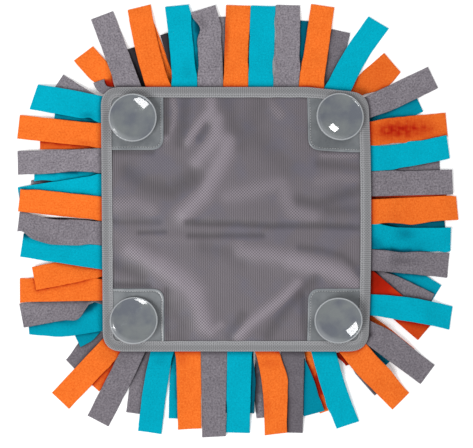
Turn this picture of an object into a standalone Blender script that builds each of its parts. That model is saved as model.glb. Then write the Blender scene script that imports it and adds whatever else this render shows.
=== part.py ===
"""Snuffle mat resting on its working face, with its backing and suction cups upwards.

A square backing panel is bound with folded tape. A vinyl patch in each corner holds a suction
cup. Fleece strips fan out from under the binding on all four sides, over a second row of
strips, and rows of fleece pile under the panel carry the mat.

Lengths are in millimetres and angles in degrees, and the meshes are made in metres. X runs
right, Y away and Z up, and the mat lies on Z = 0. "Along" is measured clockwise from the middle
of a side, and a strip's lean is its clockwise turn from the side's outward normal.
"""

import math

import bmesh
import bpy
import numpy as np

MM = 0.001
GAP = 0.3

# The base: panel and binding.
HALF_X = 135.2
HALF_Y = 134.4
CORNER_R = 16.5
LEFT_IN = 1.0
LEFT_TWIST = 1.1
RIGHT_IN = 0.9
RIGHT_BOW = 3.4
CORNER_DIP = 4.7
DIP_FROM = 70.0
DIP_RUN = 50.0
TAPE = 0.8
TAPE_FACE = 10.8
SEAT_Z = 12.0
PANEL_THICK = 1.6
PANEL_CELLS = 28
PANEL_Z = SEAT_Z + TAPE + GAP
PANEL_TOP = PANEL_Z + PANEL_THICK
CREASE_MOST = 1.6
CALM_EDGE = 10.0
CALM_PATCH = 12.0
SIDE_STATIONS = (-1, -0.81, -0.62, -0.55, -0.25, 0.25, 0.55, 0.62, 0.81, 1)
CORNER_STATIONS = (22.5, 45.0, 67.5)

# The corner patches and suction cups.
PATCH_THICK = 0.9
PATCH_REACH_X = 72.6
PATCH_REACH_Y = 70.4
PATCH_TUCK = 2.0
PATCH_INNER_R = 10.0
PATCH_SIDE_R = 3.0
PATCH_RISE = 1.5
PLATEAU_R = 11.0
SLOPE_R = 17.5
HOLE_GAP = 0.5
CUP_SIDES = 28
CUP_R = 24.35
CUP_LIP = 1.85
CUP_THICK = 1.0
CUP_DISH = 4.0
DISH_R = 7.0
SHOULDER = 3.5
NECK_R = 4.7
NECK_BEND = 1.5
FLANGE_R = 7.0
FLANGE_THICK = 1.2
NECK_TOP = 5.0
CUP_BACK = 7.0

# The fleece.
FLEECE = 1.6
STRIP_WIDTH = 24.3
TUCK = 6.0
LEVEL_RUN = 5.0
FALL = 46.0
FALL_VARIES = 8.0
UNDER_FALL = 48.0
EDGE_STEP = 0.4
OPENING = (0, 0.15, 0.7, 1, 1, 1, 1, 1)
SPANS = len(OPENING) - 1
UNDER_OPENING = (0, 0.25, 0.7, 1, 1, 1, 1)
LAY_GAP = 0.45
ROOT_CLIMB = 0.3
STEEPEST = 5.0
ROOT_TOP = SEAT_Z - 0.35
HEADER_OUT = 8.0
HEADER_IN = 14.0
HEADER_Z = 2.0
ROOT_GAP = 1.0
CORNER_TURN = 38.0
PILE_ROWS = 4
PILE_TAILS = 8
PILE_PITCH_X = 28.0
PILE_PITCH_Y = 54.0
PILE_FIRST_Y = 106.0
PILE_LENGTH = 58.0
PILE_SHORTER = 6.0
PILE_LEAN = 4.0
PILE_HEADER = 6.0
PILE_END = 2.0
PILE_Z = PANEL_Z - GAP - FLEECE

COLOURS = {
    "grey": (0.25, 0.225, 0.255),
    "orange": (1.0, 0.195, 0.018),
    "teal": (0.0, 0.456, 0.63),
}

SIDES = {
    "top": ((0, 1), (1, 0)),
    "right": ((1, 0), (0, -1)),
    "bottom": ((0, -1), (-1, 0)),
    "left": ((-1, 0), (0, 1)),
}

# side, along, lean, length, colour, rank (a higher rank lies over a lower one), level (0 is
# next to the binding, 1 is one layer down), how far the root's anticlockwise and clockwise
# edges are gathered in, sway (sideways bow, clockwise), hump
STRIPS = (
    ("top", -107.2, -20.7, 79.4, "grey", 0, 0, 0, 0, 0, 0),
    ("top", -77.5, -13.8, 85.0, "orange", 0, 0, 0, 0, -2, 0),
    ("top", -51.8, -5.3, 84.4, "teal", 0, 0, 0, 0, 1, 0),
    ("top", -26.1, -4.4, 81.0, "grey", 0, 0, 0, 0, 3, 4),
    ("top", -0.5, 1.7, 84.5, "orange", 0, 0, 0, 0, 0, 0),
    ("top", 25.8, 1.7, 84.0, "teal", 0, 0, 0, 0.3, -1, 0),
    ("top", 51.3, 1.6, 84.6, "grey", 0, 0, 0.3, 0.3, 1, 0),
    ("top", 77.0, 8.3, 85.2, "orange", 0, 0, 0.3, 0, 0, 0),
    ("top", 104.8, 30.8, 82.0, "teal", 0, 0, 0, 0, -3, 0),
    ("right", -117.0, -25.8, 73.8, "grey", 0, 0, 0, 3, 0, 0),
    ("right", -92.4, -5.6, 79.8, "orange", 0, 0, 3, 0, 0, 0),
    ("right", -64.6, -8.3, 81.0, "teal", 1, 0, 0, 0, 2, 0),
    ("right", -37.0, -2.1, 84.0, "grey", 0, 0, 0, 0, 0, 0),
    ("right", -8.1, -2.3, 88.0, "orange", 1, 0, 0, 0, 0, 0),
    ("right", 19.0, 1.0, 82.0, "teal", 0, 0, 0, 2, 1, 1),
    ("right", 41.2, 4.8, 80.0, "grey", 1, 0, 2, 1, -1, 1),
    ("right", 65.8, 40.4, 75.0, "orange", 0, 1, 0, 0, 0, 0),
    ("right", 89.1, 8.1, 84.5, "teal", 1, 0, 0, 3, -3, 2),
    ("right", 113.9, 36.5, 75.6, "grey", 0, 1, 4, 0, 0, 0),
    ("bottom", -118.2, -44.8, 72.8, "orange", 1, 0, 0, 3.5, 0, 0),
    ("bottom", -90.3, -18.1, 80.0, "teal", 0, 0, 3.5, 0, 2, 0),
    ("bottom", -58.0, 1.0, 84.0, "grey", 0, 1, 0, 0, 0, 0),
    ("bottom", -31.4, -7.0, 85.5, "orange", 1, 0, 0, 0, -4, 3),
    ("bottom", -4.3, 1.6, 84.0, "teal", 0, 0, 0, 0, 0, 0),
    ("bottom", 22.4, 0.0, 88.3, "grey", 0, 0, 0, 0, 0, 0),
    ("bottom", 49.0, -1.3, 80.0, "orange", 0, 0, 0, 0, 0, 0),
    ("bottom", 76.0, 8.3, 84.5, "teal", 1, 0, 0, 1.6, 1, 0),
    ("bottom", 103.9, 27.4, 81.0, "grey", 0, 0, 1.6, 0, 0, 0),
    ("bottom", 128.2, 43.4, 74.7, "orange", 0, 1, 0, 0, 0, 0),
    ("left", -100.6, -3.8, 77.0, "teal", 0, 2, 0, 0, -3, 3),
    ("left", -83.0, -10.7, 85.0, "grey", 1, 2, 8.4, 0, 0, 3),
    ("left", -70.7, -1.1, 85.3, "orange", 2, 1, 0, 3.5, 0, 0),
    ("left", -46.8, -11.0, 71.5, "orange", 3, 1, 3.5, 0, 0, 0),
    ("left", -39.0, 8.7, 84.0, "teal", 4, 0, 0, 1.2, 0, 0),
    ("left", -14.4, 6.5, 87.0, "grey", 5, 0, 1.2, 0.6, 0, 0),
    ("left", 10.8, 6.2, 85.5, "orange", 6, 0, 0.6, 0, 0, 0),
    ("left", 33.5, -8.5, 86.0, "teal", 0, 1, 0, 0, 0, 0),
    ("left", 60.0, -1.5, 86.5, "grey", 1, 0, 0, 1, 0, 0),
    ("left", 84.9, 6.5, 86.0, "orange", 1, 0, 1, 0, 0, 0),
    ("left", 111.3, 10.5, 73.0, "teal", 1, 0, 0, 0, 0, 2),
)

# side: along, lean, length of the tails that show between and past the upper strips, and how
# far along the header the tail is joined from there
UNDER_ROWS = {
    "top": (
        (-126.4, -37.0, 46.3, 0),
        (-118.0, -41.0, 15.5, 0),
        (-92.6, -16.7, 42.7, 0),
        (-70.1, -20.9, 69.0, 0),
        (-47.6, -16.9, 59.9, 0),
        (-35.4, -1.6, 75.2, 0),
        (-12.8, 1.6, 72.7, 0),
        (22.0, 3.0, 66.0, 0),
        (64.0, 6.0, 68.9, 0),
        (91.6, 13.0, 62.0, 0),
        (123.3, 49.4, 48.8, 0),
    ),
    "right": (
        (-101.0, -25.1, 56.0, 0),
        (-51.9, -3.3, 71.4, 0),
        (-26.3, -2.3, 77.8, 0),
        (7.5, -6.2, 75.9, 0),
        (37.1, 31.4, 77.9, 0),
        (57.6, 26.2, 67.3, 0),
        (107.3, 40.2, 52.3, 0),
        (122.1, 46.3, 32.6, 0),
    ),
    "bottom": (
        (-118.0, -41.7, 50.7, 0),
        (-107.0, -21.8, 16.5, 0),
        (-78.8, -19.9, 63.1, 0),
        (-64.0, -15.2, 66.3, 0),
        (-26.1, -6.0, 68.4, 0),
        (-13.8, 3.7, 63.6, 0),
        (22.0, -2.0, 64.0, 0),
        (54.8, 1.7, 69.6, 0),
        (91.6, 7.7, 65.1, 0),
        (119.2, 41.3, 45.0, 0),
    ),
    "left": (
        (-122.1, -44.6, 43.1, 0),
        (-105.7, -25.7, 32.0, 0),
        (-60.0, -2.0, 66.0, 0),
        (-12.0, 2.0, 70.0, 0),
        (29.4, -3.2, 72.5, 0),
        (47.8, 1.7, 69.4, 0),
        (83.6, 0.0, 63.5, 0),
        (108.2, 6.1, 47.9, -5.0),
        (108.2, 32.8, 54.8, 4.0),
    ),
}

# share of a pile tail's length, and the height of its underside there
PILE_FALL = ((0.16, 7.0), (0.36, 2.8), (0.62, 0.0), (1.0, 0.0))

# points along the crease, half width, height (below zero for a trough)
CREASES = (
    (((-122, -5), (-40, -7), (40, -6), (122, -8)), 5.5, -0.5),
    (((-122, 4), (-30, 3), (50, 4), (122, 2)), 8.0, 0.5),
    (((-15, 121), (-13, 70), (-32, 29), (-52, 4)), 8.0, 1.6),
    (((-33, 114), (-51, 78)), 6.0, 1.2),
    (((-63, 120), (-68, 85), (-79, 68)), 6.0, 1.1),
    (((-99, -34), (-68, -59), (-32, -104)), 9.0, 1.5),
    (((83, -61), (39, -89), (2, -120)), 8.0, 1.6),
    (((16, -34), (93, -41), (125, -59)), 9.0, 1.1),
    (((66, 21), (102, 13), (125, 30)), 8.0, -0.5),
    (((30, 121), (43, 107)), 7.0, 0.9),
    (((60, 110), (70, 78), (64, 50)), 10.0, 0.8),
)

# node number, sign of x, sign of y, cup centre x, cup centre y, azimuth of the lean, tilt
CORNERS = (
    (1, -1, 1, -104.4, 102.7, 150.0, 1.0),
    (2, 1, 1, 105.8, 104.1, 45.0, 12.0),
    (3, -1, -1, -103.4, -101.6, 96.0, 15.0),
    (4, 1, -1, 103.5, -103.3, 261.0, 16.0),
)


def smooth(t):
    t = min(1.0, max(0.0, t))
    return t * t * (3 - 2 * t)


def settled(x, y):
    """Where a point of the true square lies once the mat has been laid down unevenly."""
    u = x / HALF_X
    v = y / HALF_Y
    if u < 0:
        x += u * (LEFT_IN + LEFT_TWIST * v)
    else:
        x += u * (RIGHT_BOW * (1 - v * v) - RIGHT_IN)
    y -= CORNER_DIP * smooth((x - DIP_FROM) / DIP_RUN) * max(v, 0.0)
    return x, y


def unsettled(x, y):
    moved_x, moved_y = settled(x, y)
    return 2 * x - moved_x, 2 * y - moved_y


def edge_distance(x, y):
    """Distance from the base's outer edge, negative inside it."""
    x, y = unsettled(x, y)
    qx = abs(x) - (HALF_X - CORNER_R)
    qy = abs(y) - (HALF_Y - CORNER_R)
    outside = math.hypot(max(qx, 0.0), max(qy, 0.0))
    return outside + min(max(qx, qy), 0.0) - CORNER_R


def halves(side):
    """Half the side's length, and how far the side is from the centre."""
    return (HALF_X, HALF_Y) if side in ("top", "bottom") else (HALF_Y, HALF_X)


def rim_point(side, along, inset):
    """A point inside the edge by the inset. The rounded corners belong half to each side."""
    normal, tangent = SIDES[side]
    half, reach = halves(side)
    straight = half - CORNER_R
    excess = max(0.0, abs(along) - straight)
    turn = math.asin(min(1.0, excess / CORNER_R))
    across = math.copysign(min(abs(along), straight), along)
    across += math.copysign((CORNER_R - inset) * math.sin(turn), along)
    out = reach - CORNER_R + (CORNER_R - inset) * math.cos(turn)
    x = out * normal[0] + across * tangent[0]
    y = out * normal[1] + across * tangent[1]
    return settled(x, y)


def heading(side, lean):
    """The outward direction of a strip, and the direction clockwise across it."""
    normal, tangent = SIDES[side]
    c, s = math.cos(math.radians(lean)), math.sin(math.radians(lean))
    d = np.array([c * normal[0] + s * tangent[0], c * normal[1] + s * tangent[1]])
    return d, np.array([d[1], -d[0]])


def material(name, colour, roughness, alpha=1.0):
    finish = bpy.data.materials.new(name)
    finish.use_nodes = True
    shader = finish.node_tree.nodes["Principled BSDF"]
    shader.inputs["Base Color"].default_value = (*colour, 1.0)
    shader.inputs["Roughness"].default_value = roughness
    shader.inputs["Metallic"].default_value = 0.0
    shader.inputs["Alpha"].default_value = alpha
    return finish


def add_object(name, bm, finish):
    """The bmesh, in millimetres, as a named object in metres with its faces outwards."""
    bmesh.ops.recalc_face_normals(bm, faces=bm.faces)
    bmesh.ops.scale(bm, vec=(MM, MM, MM), verts=bm.verts)
    mesh = bpy.data.meshes.new(name)
    bm.to_mesh(mesh)
    bm.free()
    mesh.materials.append(finish)
    obj = bpy.data.objects.new(name, mesh)
    bpy.context.scene.collection.objects.link(obj)
    return obj


class Bed:
    """The height of what lies on the surface so far, on a square grid, for the next ribbon to lie on."""

    CELL = 0.5
    CELLS = 1000

    def __init__(self):
        self.top = np.zeros((self.CELLS, self.CELLS))

    def index(self, values):
        cells = (values / self.CELL + self.CELLS / 2).astype(int)
        return np.clip(cells, 1, self.CELLS - 2)

    @staticmethod
    def spread(corners, s, u):
        """Values between the two edges u and along the spans s, from one row for each section."""
        k = np.minimum(s.astype(int), len(corners) - 2)
        f = s - k
        low = corners[k, 0] * (1 - u) + corners[k, 1] * u
        high = corners[k + 1, 0] * (1 - u) + corners[k + 1, 1] * u
        return low * (1 - f) + high * f

    def samples(self, plan, along_steps, across_steps):
        s = np.linspace(0, len(plan) - 1, (len(plan) - 1) * along_steps + 1)
        u = np.linspace(0, 1, across_steps)
        s, u = (g.ravel() for g in np.meshgrid(s, u, indexing="ij"))
        x = self.spread(plan[:, :, 0], s, u)
        y = self.spread(plan[:, :, 1], s, u)
        return s, u, self.index(x), self.index(y)

    def lay(self, plan, free, limit, climb):
        """The ribbon's underside: its free height, raised wherever something lies under it."""
        under = np.repeat(np.asarray(free, float)[:, None], 2, axis=1)
        rows = np.arange(len(plan))
        ceiling = limit + climb * np.minimum(rows, 1) + STEEPEST * np.maximum(rows - 1, 0)
        s, u, i, j = self.samples(plan, 8, 13)
        wanted = self.top[i, j] + np.where(self.top[i, j] > 0, LAY_GAP, 0.0)
        wanted = np.minimum(wanted, np.interp(s, rows, ceiling))
        k = np.minimum(s.astype(int), len(plan) - 2)
        f = s - k
        shares = (
            (k, 0, (1 - f) * (1 - u)),
            (k, 1, (1 - f) * u),
            (k + 1, 0, f * (1 - u)),
            (k + 1, 1, f * u),
        )
        total = sum(w * w for _, _, w in shares)
        for _ in range(80):
            short = np.maximum(wanted - self.spread(under, s, u), 0)
            if short.max() < 0.02:
                break
            lift = np.zeros_like(under)
            for row, edge, w in shares:
                np.maximum.at(lift[:, edge], row, short * w / total)
            under = np.minimum(under + 0.7 * lift, ceiling[:, None])
        return under

    def cover(self, plan, under):
        """Adds the ribbon's top to the grid, one cell wider all round."""
        s, u, i, j = self.samples(plan, 30, 61)
        top = self.spread(under, s, u) + FLEECE
        for di in (-1, 0, 1):
            for dj in (-1, 0, 1):
                np.maximum.at(self.top, (i + di, j + dj), top)


def edge_start(foot, d, offset, inset):
    """Where the line parallel to d, offset to one side, crosses the outline this far inside the edge."""
    point = foot + offset
    while edge_distance(*point) > -inset:
        point = point - EDGE_STEP * d
    while edge_distance(*point) < -inset:
        point = point + EDGE_STEP * d
    return point


def opened(start, full, tip, shares):
    """An edge that leaves its root where it is gathered, and opens out to the strip's full width."""
    points = []
    for k, share in enumerate(shares):
        line = full + (tip - full) * k / (len(shares) - 1)
        points.append(line + (start - full) * (1 - share))
    return points


def strip_plan(side, along, lean, length, gathers, sway):
    """The two edges of a strip seen from above, from its tucked root to its tip."""
    d, q = heading(side, lean)
    foot = np.array(rim_point(side, along, 0.0))
    edges = []
    for sign, gather in zip((-1, 1), gathers):
        half = sign * q * STRIP_WIDTH / 2
        full = edge_start(foot, d, half, TUCK)
        tip = foot + half + d * length
        edge = opened(full - sign * q * gather, full, tip, OPENING)
        bow = [q * sway * math.sin(math.pi * k / SPANS) for k in range(SPANS + 1)]
        edges.append([point + aside for point, aside in zip(edge, bow)])
    return np.array(edges).transpose(1, 0, 2)


def droop(plan, root_z, fall, hump):
    """A free ribbon's underside: level at the root, then down to the surface, with a hump on the way."""
    middle = plan.mean(axis=1)
    steps = np.linalg.norm(np.diff(middle, axis=0), axis=1)
    run = np.concatenate([[0], np.cumsum(steps)])
    lift = np.sin(np.pi * run / run[-1]) ** 2 * hump
    return [root_z * (1 - smooth((r - LEVEL_RUN) / fall)) + h for r, h in zip(run, lift)]


def ribbon(bm, plan, under, first=None):
    """A ribbon's skin through its sections, with its root closed unless first gives its corners."""
    rings = []
    for k, (edges, heights) in enumerate(zip(plan, under)):
        if k == 0 and first:
            rings.append(first)
            continue
        (ax, ay), (bx, by) = edges
        za, zb = heights
        corners = (
            (ax, ay, za),
            (bx, by, zb),
            (bx, by, zb + FLEECE),
            (ax, ay, za + FLEECE),
        )
        rings.append([bm.verts.new(c) for c in corners])
    for near, far in zip(rings, rings[1:]):
        for c in range(4):
            n = (c + 1) % 4
            p, r = (c, n) if c < 2 else (n, c)
            bm.faces.new((near[c], near[n], far[r]))
            bm.faces.new((near[p], far[n], far[c]))
    bm.faces.new(rings[-1])
    if not first:
        bm.faces.new(rings[0])


def comb(name, stations, z, tails, finish):
    """A header band through its stations, with a tail growing out of the outer side of some of its spans."""
    bm = bmesh.new()
    rings = []
    for outer, inner in stations:
        corners = ((*outer, z), (*outer, z + FLEECE), (*inner, z + FLEECE), (*inner, z))
        rings.append([bm.verts.new(c) for c in corners])
    for k, (a, b) in enumerate(zip(rings, rings[1:])):
        for c in (1, 2, 3):
            bm.faces.new((a[c], a[(c + 1) % 4], b[(c + 1) % 4], b[c]))
        if k in tails:
            ribbon(bm, *tails[k], first=[a[0], b[0], b[1], a[1]])
        else:
            bm.faces.new((a[0], a[1], b[1], b[0]))
    bm.faces.new(rings[0])
    bm.faces.new(rings[-1])
    return add_object(name, bm, finish)


def root_spans(rows):
    """Where each tail's root begins and ends along the header: side by side, narrower where they crowd."""
    spans = []
    for along, _, _, shift in rows:
        root = along + shift
        low, high = root - STRIP_WIDTH / 2 + 1, root + STRIP_WIDTH / 2 - 1
        if spans and spans[-1][1] + ROOT_GAP > low:
            middle = (spans[-1][1] + low) / 2
            spans[-1][1] = middle - ROOT_GAP / 2
            low = middle + ROOT_GAP / 2
        spans.append([low, high])
    return spans


def under_row(side, bed, finish):
    """The comb of the lower row along one side."""
    rows = sorted(UNDER_ROWS[side], key=lambda row: row[0] + row[3])
    half = halves(side)[0]
    limit = half - CORNER_R + CORNER_R * math.sin(math.radians(CORNER_TURN))
    spans = root_spans(rows)
    spans[0][0] = max(spans[0][0], -limit + ROOT_GAP)
    spans[-1][1] = min(spans[-1][1], limit - ROOT_GAP)
    marks = sorted([-limit, limit] + [mark for span in spans for mark in span])
    stations = [(rim_point(side, m, HEADER_OUT), rim_point(side, m, HEADER_IN)) for m in marks]
    tails = {}
    for (along, lean, length, _), (low, high) in zip(rows, spans):
        d, q = heading(side, lean)
        foot = np.array(rim_point(side, along, 0.0))
        edges = []
        for sign, mark in ((-1, low), (1, high)):
            half = sign * q * STRIP_WIDTH / 2
            full = edge_start(foot, d, half, -ROOT_GAP)
            start = np.array(rim_point(side, mark, -ROOT_GAP))
            edge = opened(start, full, foot + half + d * length, UNDER_OPENING)
            edges.append([np.array(rim_point(side, mark, HEADER_OUT)), *edge])
        plan = np.array(edges).transpose(1, 0, 2)
        free = droop(plan, HEADER_Z, UNDER_FALL, 0)
        free[:2] = HEADER_Z, HEADER_Z
        under = bed.lay(plan, free, HEADER_Z, 0.0)
        bed.cover(plan, under)
        tails[marks.index(low)] = (plan, under)
    return comb(f"under_row_{side}", stations, HEADER_Z, tails, finish)


def pile_row(number, bed, finish):
    """A plain row of the hidden pile: a header across the panel, its tails lying to the lower side."""
    y = PILE_FIRST_Y - PILE_PITCH_Y * (number - 1)
    start = -PILE_PITCH_X * (PILE_TAILS - 1) / 2
    marks = [start - STRIP_WIDTH / 2 - PILE_END]
    tails = {}
    for k in range(PILE_TAILS):
        middle = start + k * PILE_PITCH_X
        low, high = middle - STRIP_WIDTH / 2, middle + STRIP_WIDTH / 2
        lean = PILE_LEAN * math.sin(2.4 * k + number)
        length = PILE_LENGTH - PILE_SHORTER * (1 + math.sin(1.7 * k + 2 * number)) / 2
        d, q = heading("bottom", lean)
        plan = [np.array(((low, y), (high, y)))]
        for share, _ in PILE_FALL:
            centre = np.array((middle, y)) + d * length * share
            plan.append(np.array((centre + q * STRIP_WIDTH / 2, centre - q * STRIP_WIDTH / 2)))
        plan = np.array(plan)
        free = [PILE_Z] + [height for _, height in PILE_FALL]
        under = bed.lay(plan, free, PILE_Z, 0.0)
        bed.cover(plan, under)
        tails[len(marks)] = (plan, under)
        marks += [low, high]
    marks.append(marks[-1] + PILE_END)
    stations = [((x, y), (x, y + PILE_HEADER)) for x in marks]
    return comb(f"pile_row_{number}", stations, PILE_Z, tails, finish)


def upper_strips(bed, finishes):
    """The strips of the upper row, each its own piece, laid down in the order in which they overlap."""
    made = {}
    order = sorted(range(len(STRIPS)), key=lambda n: (STRIPS[n][5], -STRIPS[n][6]))
    for n in order:
        side, along, lean, length, colour, _, level, *gathers, sway, hump = STRIPS[n]
        plan = strip_plan(side, along, lean, length, gathers, sway)
        limit = ROOT_TOP - FLEECE
        root_z = limit - level * (FLEECE + LAY_GAP)
        fall = FALL + FALL_VARIES * math.sin(2.1 * n)
        under = bed.lay(plan, droop(plan, root_z, fall, hump), limit, ROOT_CLIMB)
        bed.cover(plan, under)
        bm = bmesh.new()
        ribbon(bm, plan, under)
        made[n] = add_object(f"strip_{n + 1:02d}_{colour}", bm, finishes[colour])
    return [made[n] for n in sorted(made)]


def distance_to(points, x, y):
    """Distance from a point to a line through the given points."""
    nearest = math.inf
    for (ax, ay), (bx, by) in zip(points, points[1:]):
        dx, dy = bx - ax, by - ay
        t = ((x - ax) * dx + (y - ay) * dy) / (dx * dx + dy * dy)
        t = min(1.0, max(0.0, t))
        nearest = min(nearest, math.hypot(x - ax - t * dx, y - ay - t * dy))
    return nearest


def in_patch(x, y, margin):
    """1 within a corner patch, falling to 0 over the margin around it."""
    x, y = unsettled(x, y)
    along_x = smooth((abs(x) - PATCH_REACH_X + 3 + margin) / margin)
    along_y = smooth((abs(y) - PATCH_REACH_Y + 3 + margin) / margin)
    return min(along_x, along_y)


def relief(x, y):
    """How far the creases raise the panel, none under the binding and the patches."""
    height = 0.0
    for points, half_width, rise in CREASES:
        height += rise * math.exp(-((distance_to(points, x, y) / half_width) ** 2))
    calm = smooth((-edge_distance(x, y) - TAPE_FACE - 1) / CALM_EDGE)
    return min(height, CREASE_MOST) * calm * (1 - in_patch(x, y, CALM_PATCH))


def backing_panel(finish):
    """The backing: creased cloth on top of a flat layer, in one sheet."""
    inset = TAPE + GAP
    half_x, half_y, radius = HALF_X - inset, HALF_Y - inset, CORNER_R - inset
    bm = bmesh.new()
    grid = []
    for i in range(PANEL_CELLS + 1):
        column = []
        for j in range(PANEL_CELLS + 1):
            x = (2 * i / PANEL_CELLS - 1) * half_x
            y = (2 * j / PANEL_CELLS - 1) * half_y
            qx = abs(x) - (half_x - radius)
            qy = abs(y) - (half_y - radius)
            if qx > 0 and qy > 0 and math.hypot(qx, qy) > radius:
                pull = radius / math.hypot(qx, qy)
                x = math.copysign(half_x - radius + qx * pull, x)
                y = math.copysign(half_y - radius + qy * pull, y)
            x, y = settled(x, y)
            column.append(bm.verts.new((x, y, PANEL_TOP + relief(x, y))))
        grid.append(column)
    for i in range(PANEL_CELLS):
        for j in range(PANEL_CELLS):
            bm.faces.new((grid[i][j], grid[i + 1][j], grid[i + 1][j + 1], grid[i][j + 1]))
    last = PANEL_CELLS
    loop = [grid[i][0] for i in range(last)]
    loop += [grid[last][j] for j in range(last)]
    loop += [grid[i][last] for i in range(last, 0, -1)]
    loop += [grid[0][j] for j in range(last, 0, -1)]
    below = [bm.verts.new((v.co.x, v.co.y, PANEL_Z)) for v in loop]
    for k in range(len(loop)):
        n = (k + 1) % len(loop)
        bm.faces.new((loop[k], loop[n], below[n], below[k]))
    bm.faces.new(below)
    return add_object("backing_panel", bm, finish)


def edge_binding(finish):
    """The binding: one folded tape with a slot for the panel, raised where it also covers a patch."""
    stations = []
    for side in SIDES:
        straight = halves(side)[0] - CORNER_R
        for share in SIDE_STATIONS:
            stations.append((side, share * straight))
        for turn in CORNER_STATIONS:
            stations.append((side, straight + CORNER_R * math.sin(math.radians(turn))))
    bm = bmesh.new()
    rings = []
    for side, along in stations:
        middle = rim_point(side, along, TAPE_FACE / 2)
        lift = (PATCH_THICK + GAP) * in_patch(*middle, 6.0)
        roof = PANEL_TOP + GAP + lift
        profile = (
            (0.0, SEAT_Z),
            (0.0, roof + TAPE),
            (TAPE_FACE, roof + TAPE),
            (TAPE_FACE, roof),
            (TAPE, roof),
            (TAPE, SEAT_Z + TAPE),
            (TAPE_FACE, SEAT_Z + TAPE),
            (TAPE_FACE, SEAT_Z),
        )
        rings.append([bm.verts.new((*rim_point(side, along, inset), z)) for inset, z in profile])
    for k, near in enumerate(rings):
        far = rings[(k + 1) % len(rings)]
        for c in range(8):
            bm.faces.new((near[c], near[(c + 1) % 8], far[(c + 1) % 8], far[c]))
    return add_object("edge_binding", bm, finish)


def neck_foot(x, y, azimuth, tilt):
    """Where a cup's neck leaves its patch: the leaning cup's middle is a little to one side of it."""
    lean = (CUP_BACK + CUP_DISH) * math.sin(math.radians(tilt))
    a = math.radians(azimuth)
    return x - lean * math.cos(a), y - lean * math.sin(a)


def patch_outline(sign_x, sign_y):
    """A corner patch's outline, anticlockwise, with a large radius at its inner and outer corners."""
    low_x, high_x = PATCH_REACH_X, HALF_X - PATCH_TUCK
    low_y, high_y = PATCH_REACH_Y, HALF_Y - PATCH_TUCK
    outer_r = CORNER_R - PATCH_TUCK
    corners = (
        (high_x, high_y, -1, -1, outer_r),
        (low_x, high_y, 1, -1, PATCH_SIDE_R),
        (low_x, low_y, 1, 1, PATCH_INNER_R),
        (high_x, low_y, -1, 1, PATCH_SIDE_R),
    )
    points = []
    for quarter, (cx, cy, ix, iy, r) in enumerate(corners):
        for step in range(4):
            a = math.radians(90 * quarter + 30 * step)
            x = cx + ix * r + r * math.cos(a)
            y = cy + iy * r + r * math.sin(a)
            points.append((x, y))
        nx, ny, jx, jy, nr = corners[(quarter + 1) % 4]
        bx = nx + jx * nr + nr * math.cos(math.radians(90 * quarter + 90))
        by = ny + jy * nr + nr * math.sin(math.radians(90 * quarter + 90))
        ax, ay = points[-1]
        points += [(ax + (bx - ax) * t, ay + (by - ay) * t) for t in (0.33, 0.67)]
    points = [settled(sign_x * x, sign_y * y) for x, y in points]
    return points if sign_x * sign_y > 0 else points[::-1]


def corner_patch(number, sign_x, sign_y, foot, finish):
    """A vinyl plate with a flat sewn rim and a raised middle, open where the cup's neck comes through."""
    outline = patch_outline(sign_x, sign_y)
    base = PANEL_TOP + GAP
    rings = []
    for radius, rise in ((NECK_R + HOLE_GAP, PATCH_RISE), (PLATEAU_R, PATCH_RISE), (SLOPE_R, 0.0)):
        ring = []
        for x, y in outline:
            reach = math.hypot(x - foot[0], y - foot[1])
            share = min(radius, 0.85 * reach) / reach
            px = foot[0] + (x - foot[0]) * share
            py = foot[1] + (y - foot[1]) * share
            ring.append((px, py, base + rise))
        rings.append(ring)
    rings.append([(x, y, base) for x, y in outline])
    bm = bmesh.new()
    low = [[bm.verts.new(p) for p in ring] for ring in rings]
    high = [[bm.verts.new((x, y, z + PATCH_THICK)) for x, y, z in ring] for ring in rings]
    skin = low + high[::-1]
    count = len(outline)
    for near, far in zip(skin, skin[1:] + skin[:1]):
        for k in range(count):
            n = (k + 1) % count
            bm.faces.new((near[k], near[n], far[n], far[k]))
    return add_object(f"corner_patch_{number}", bm, finish)


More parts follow.
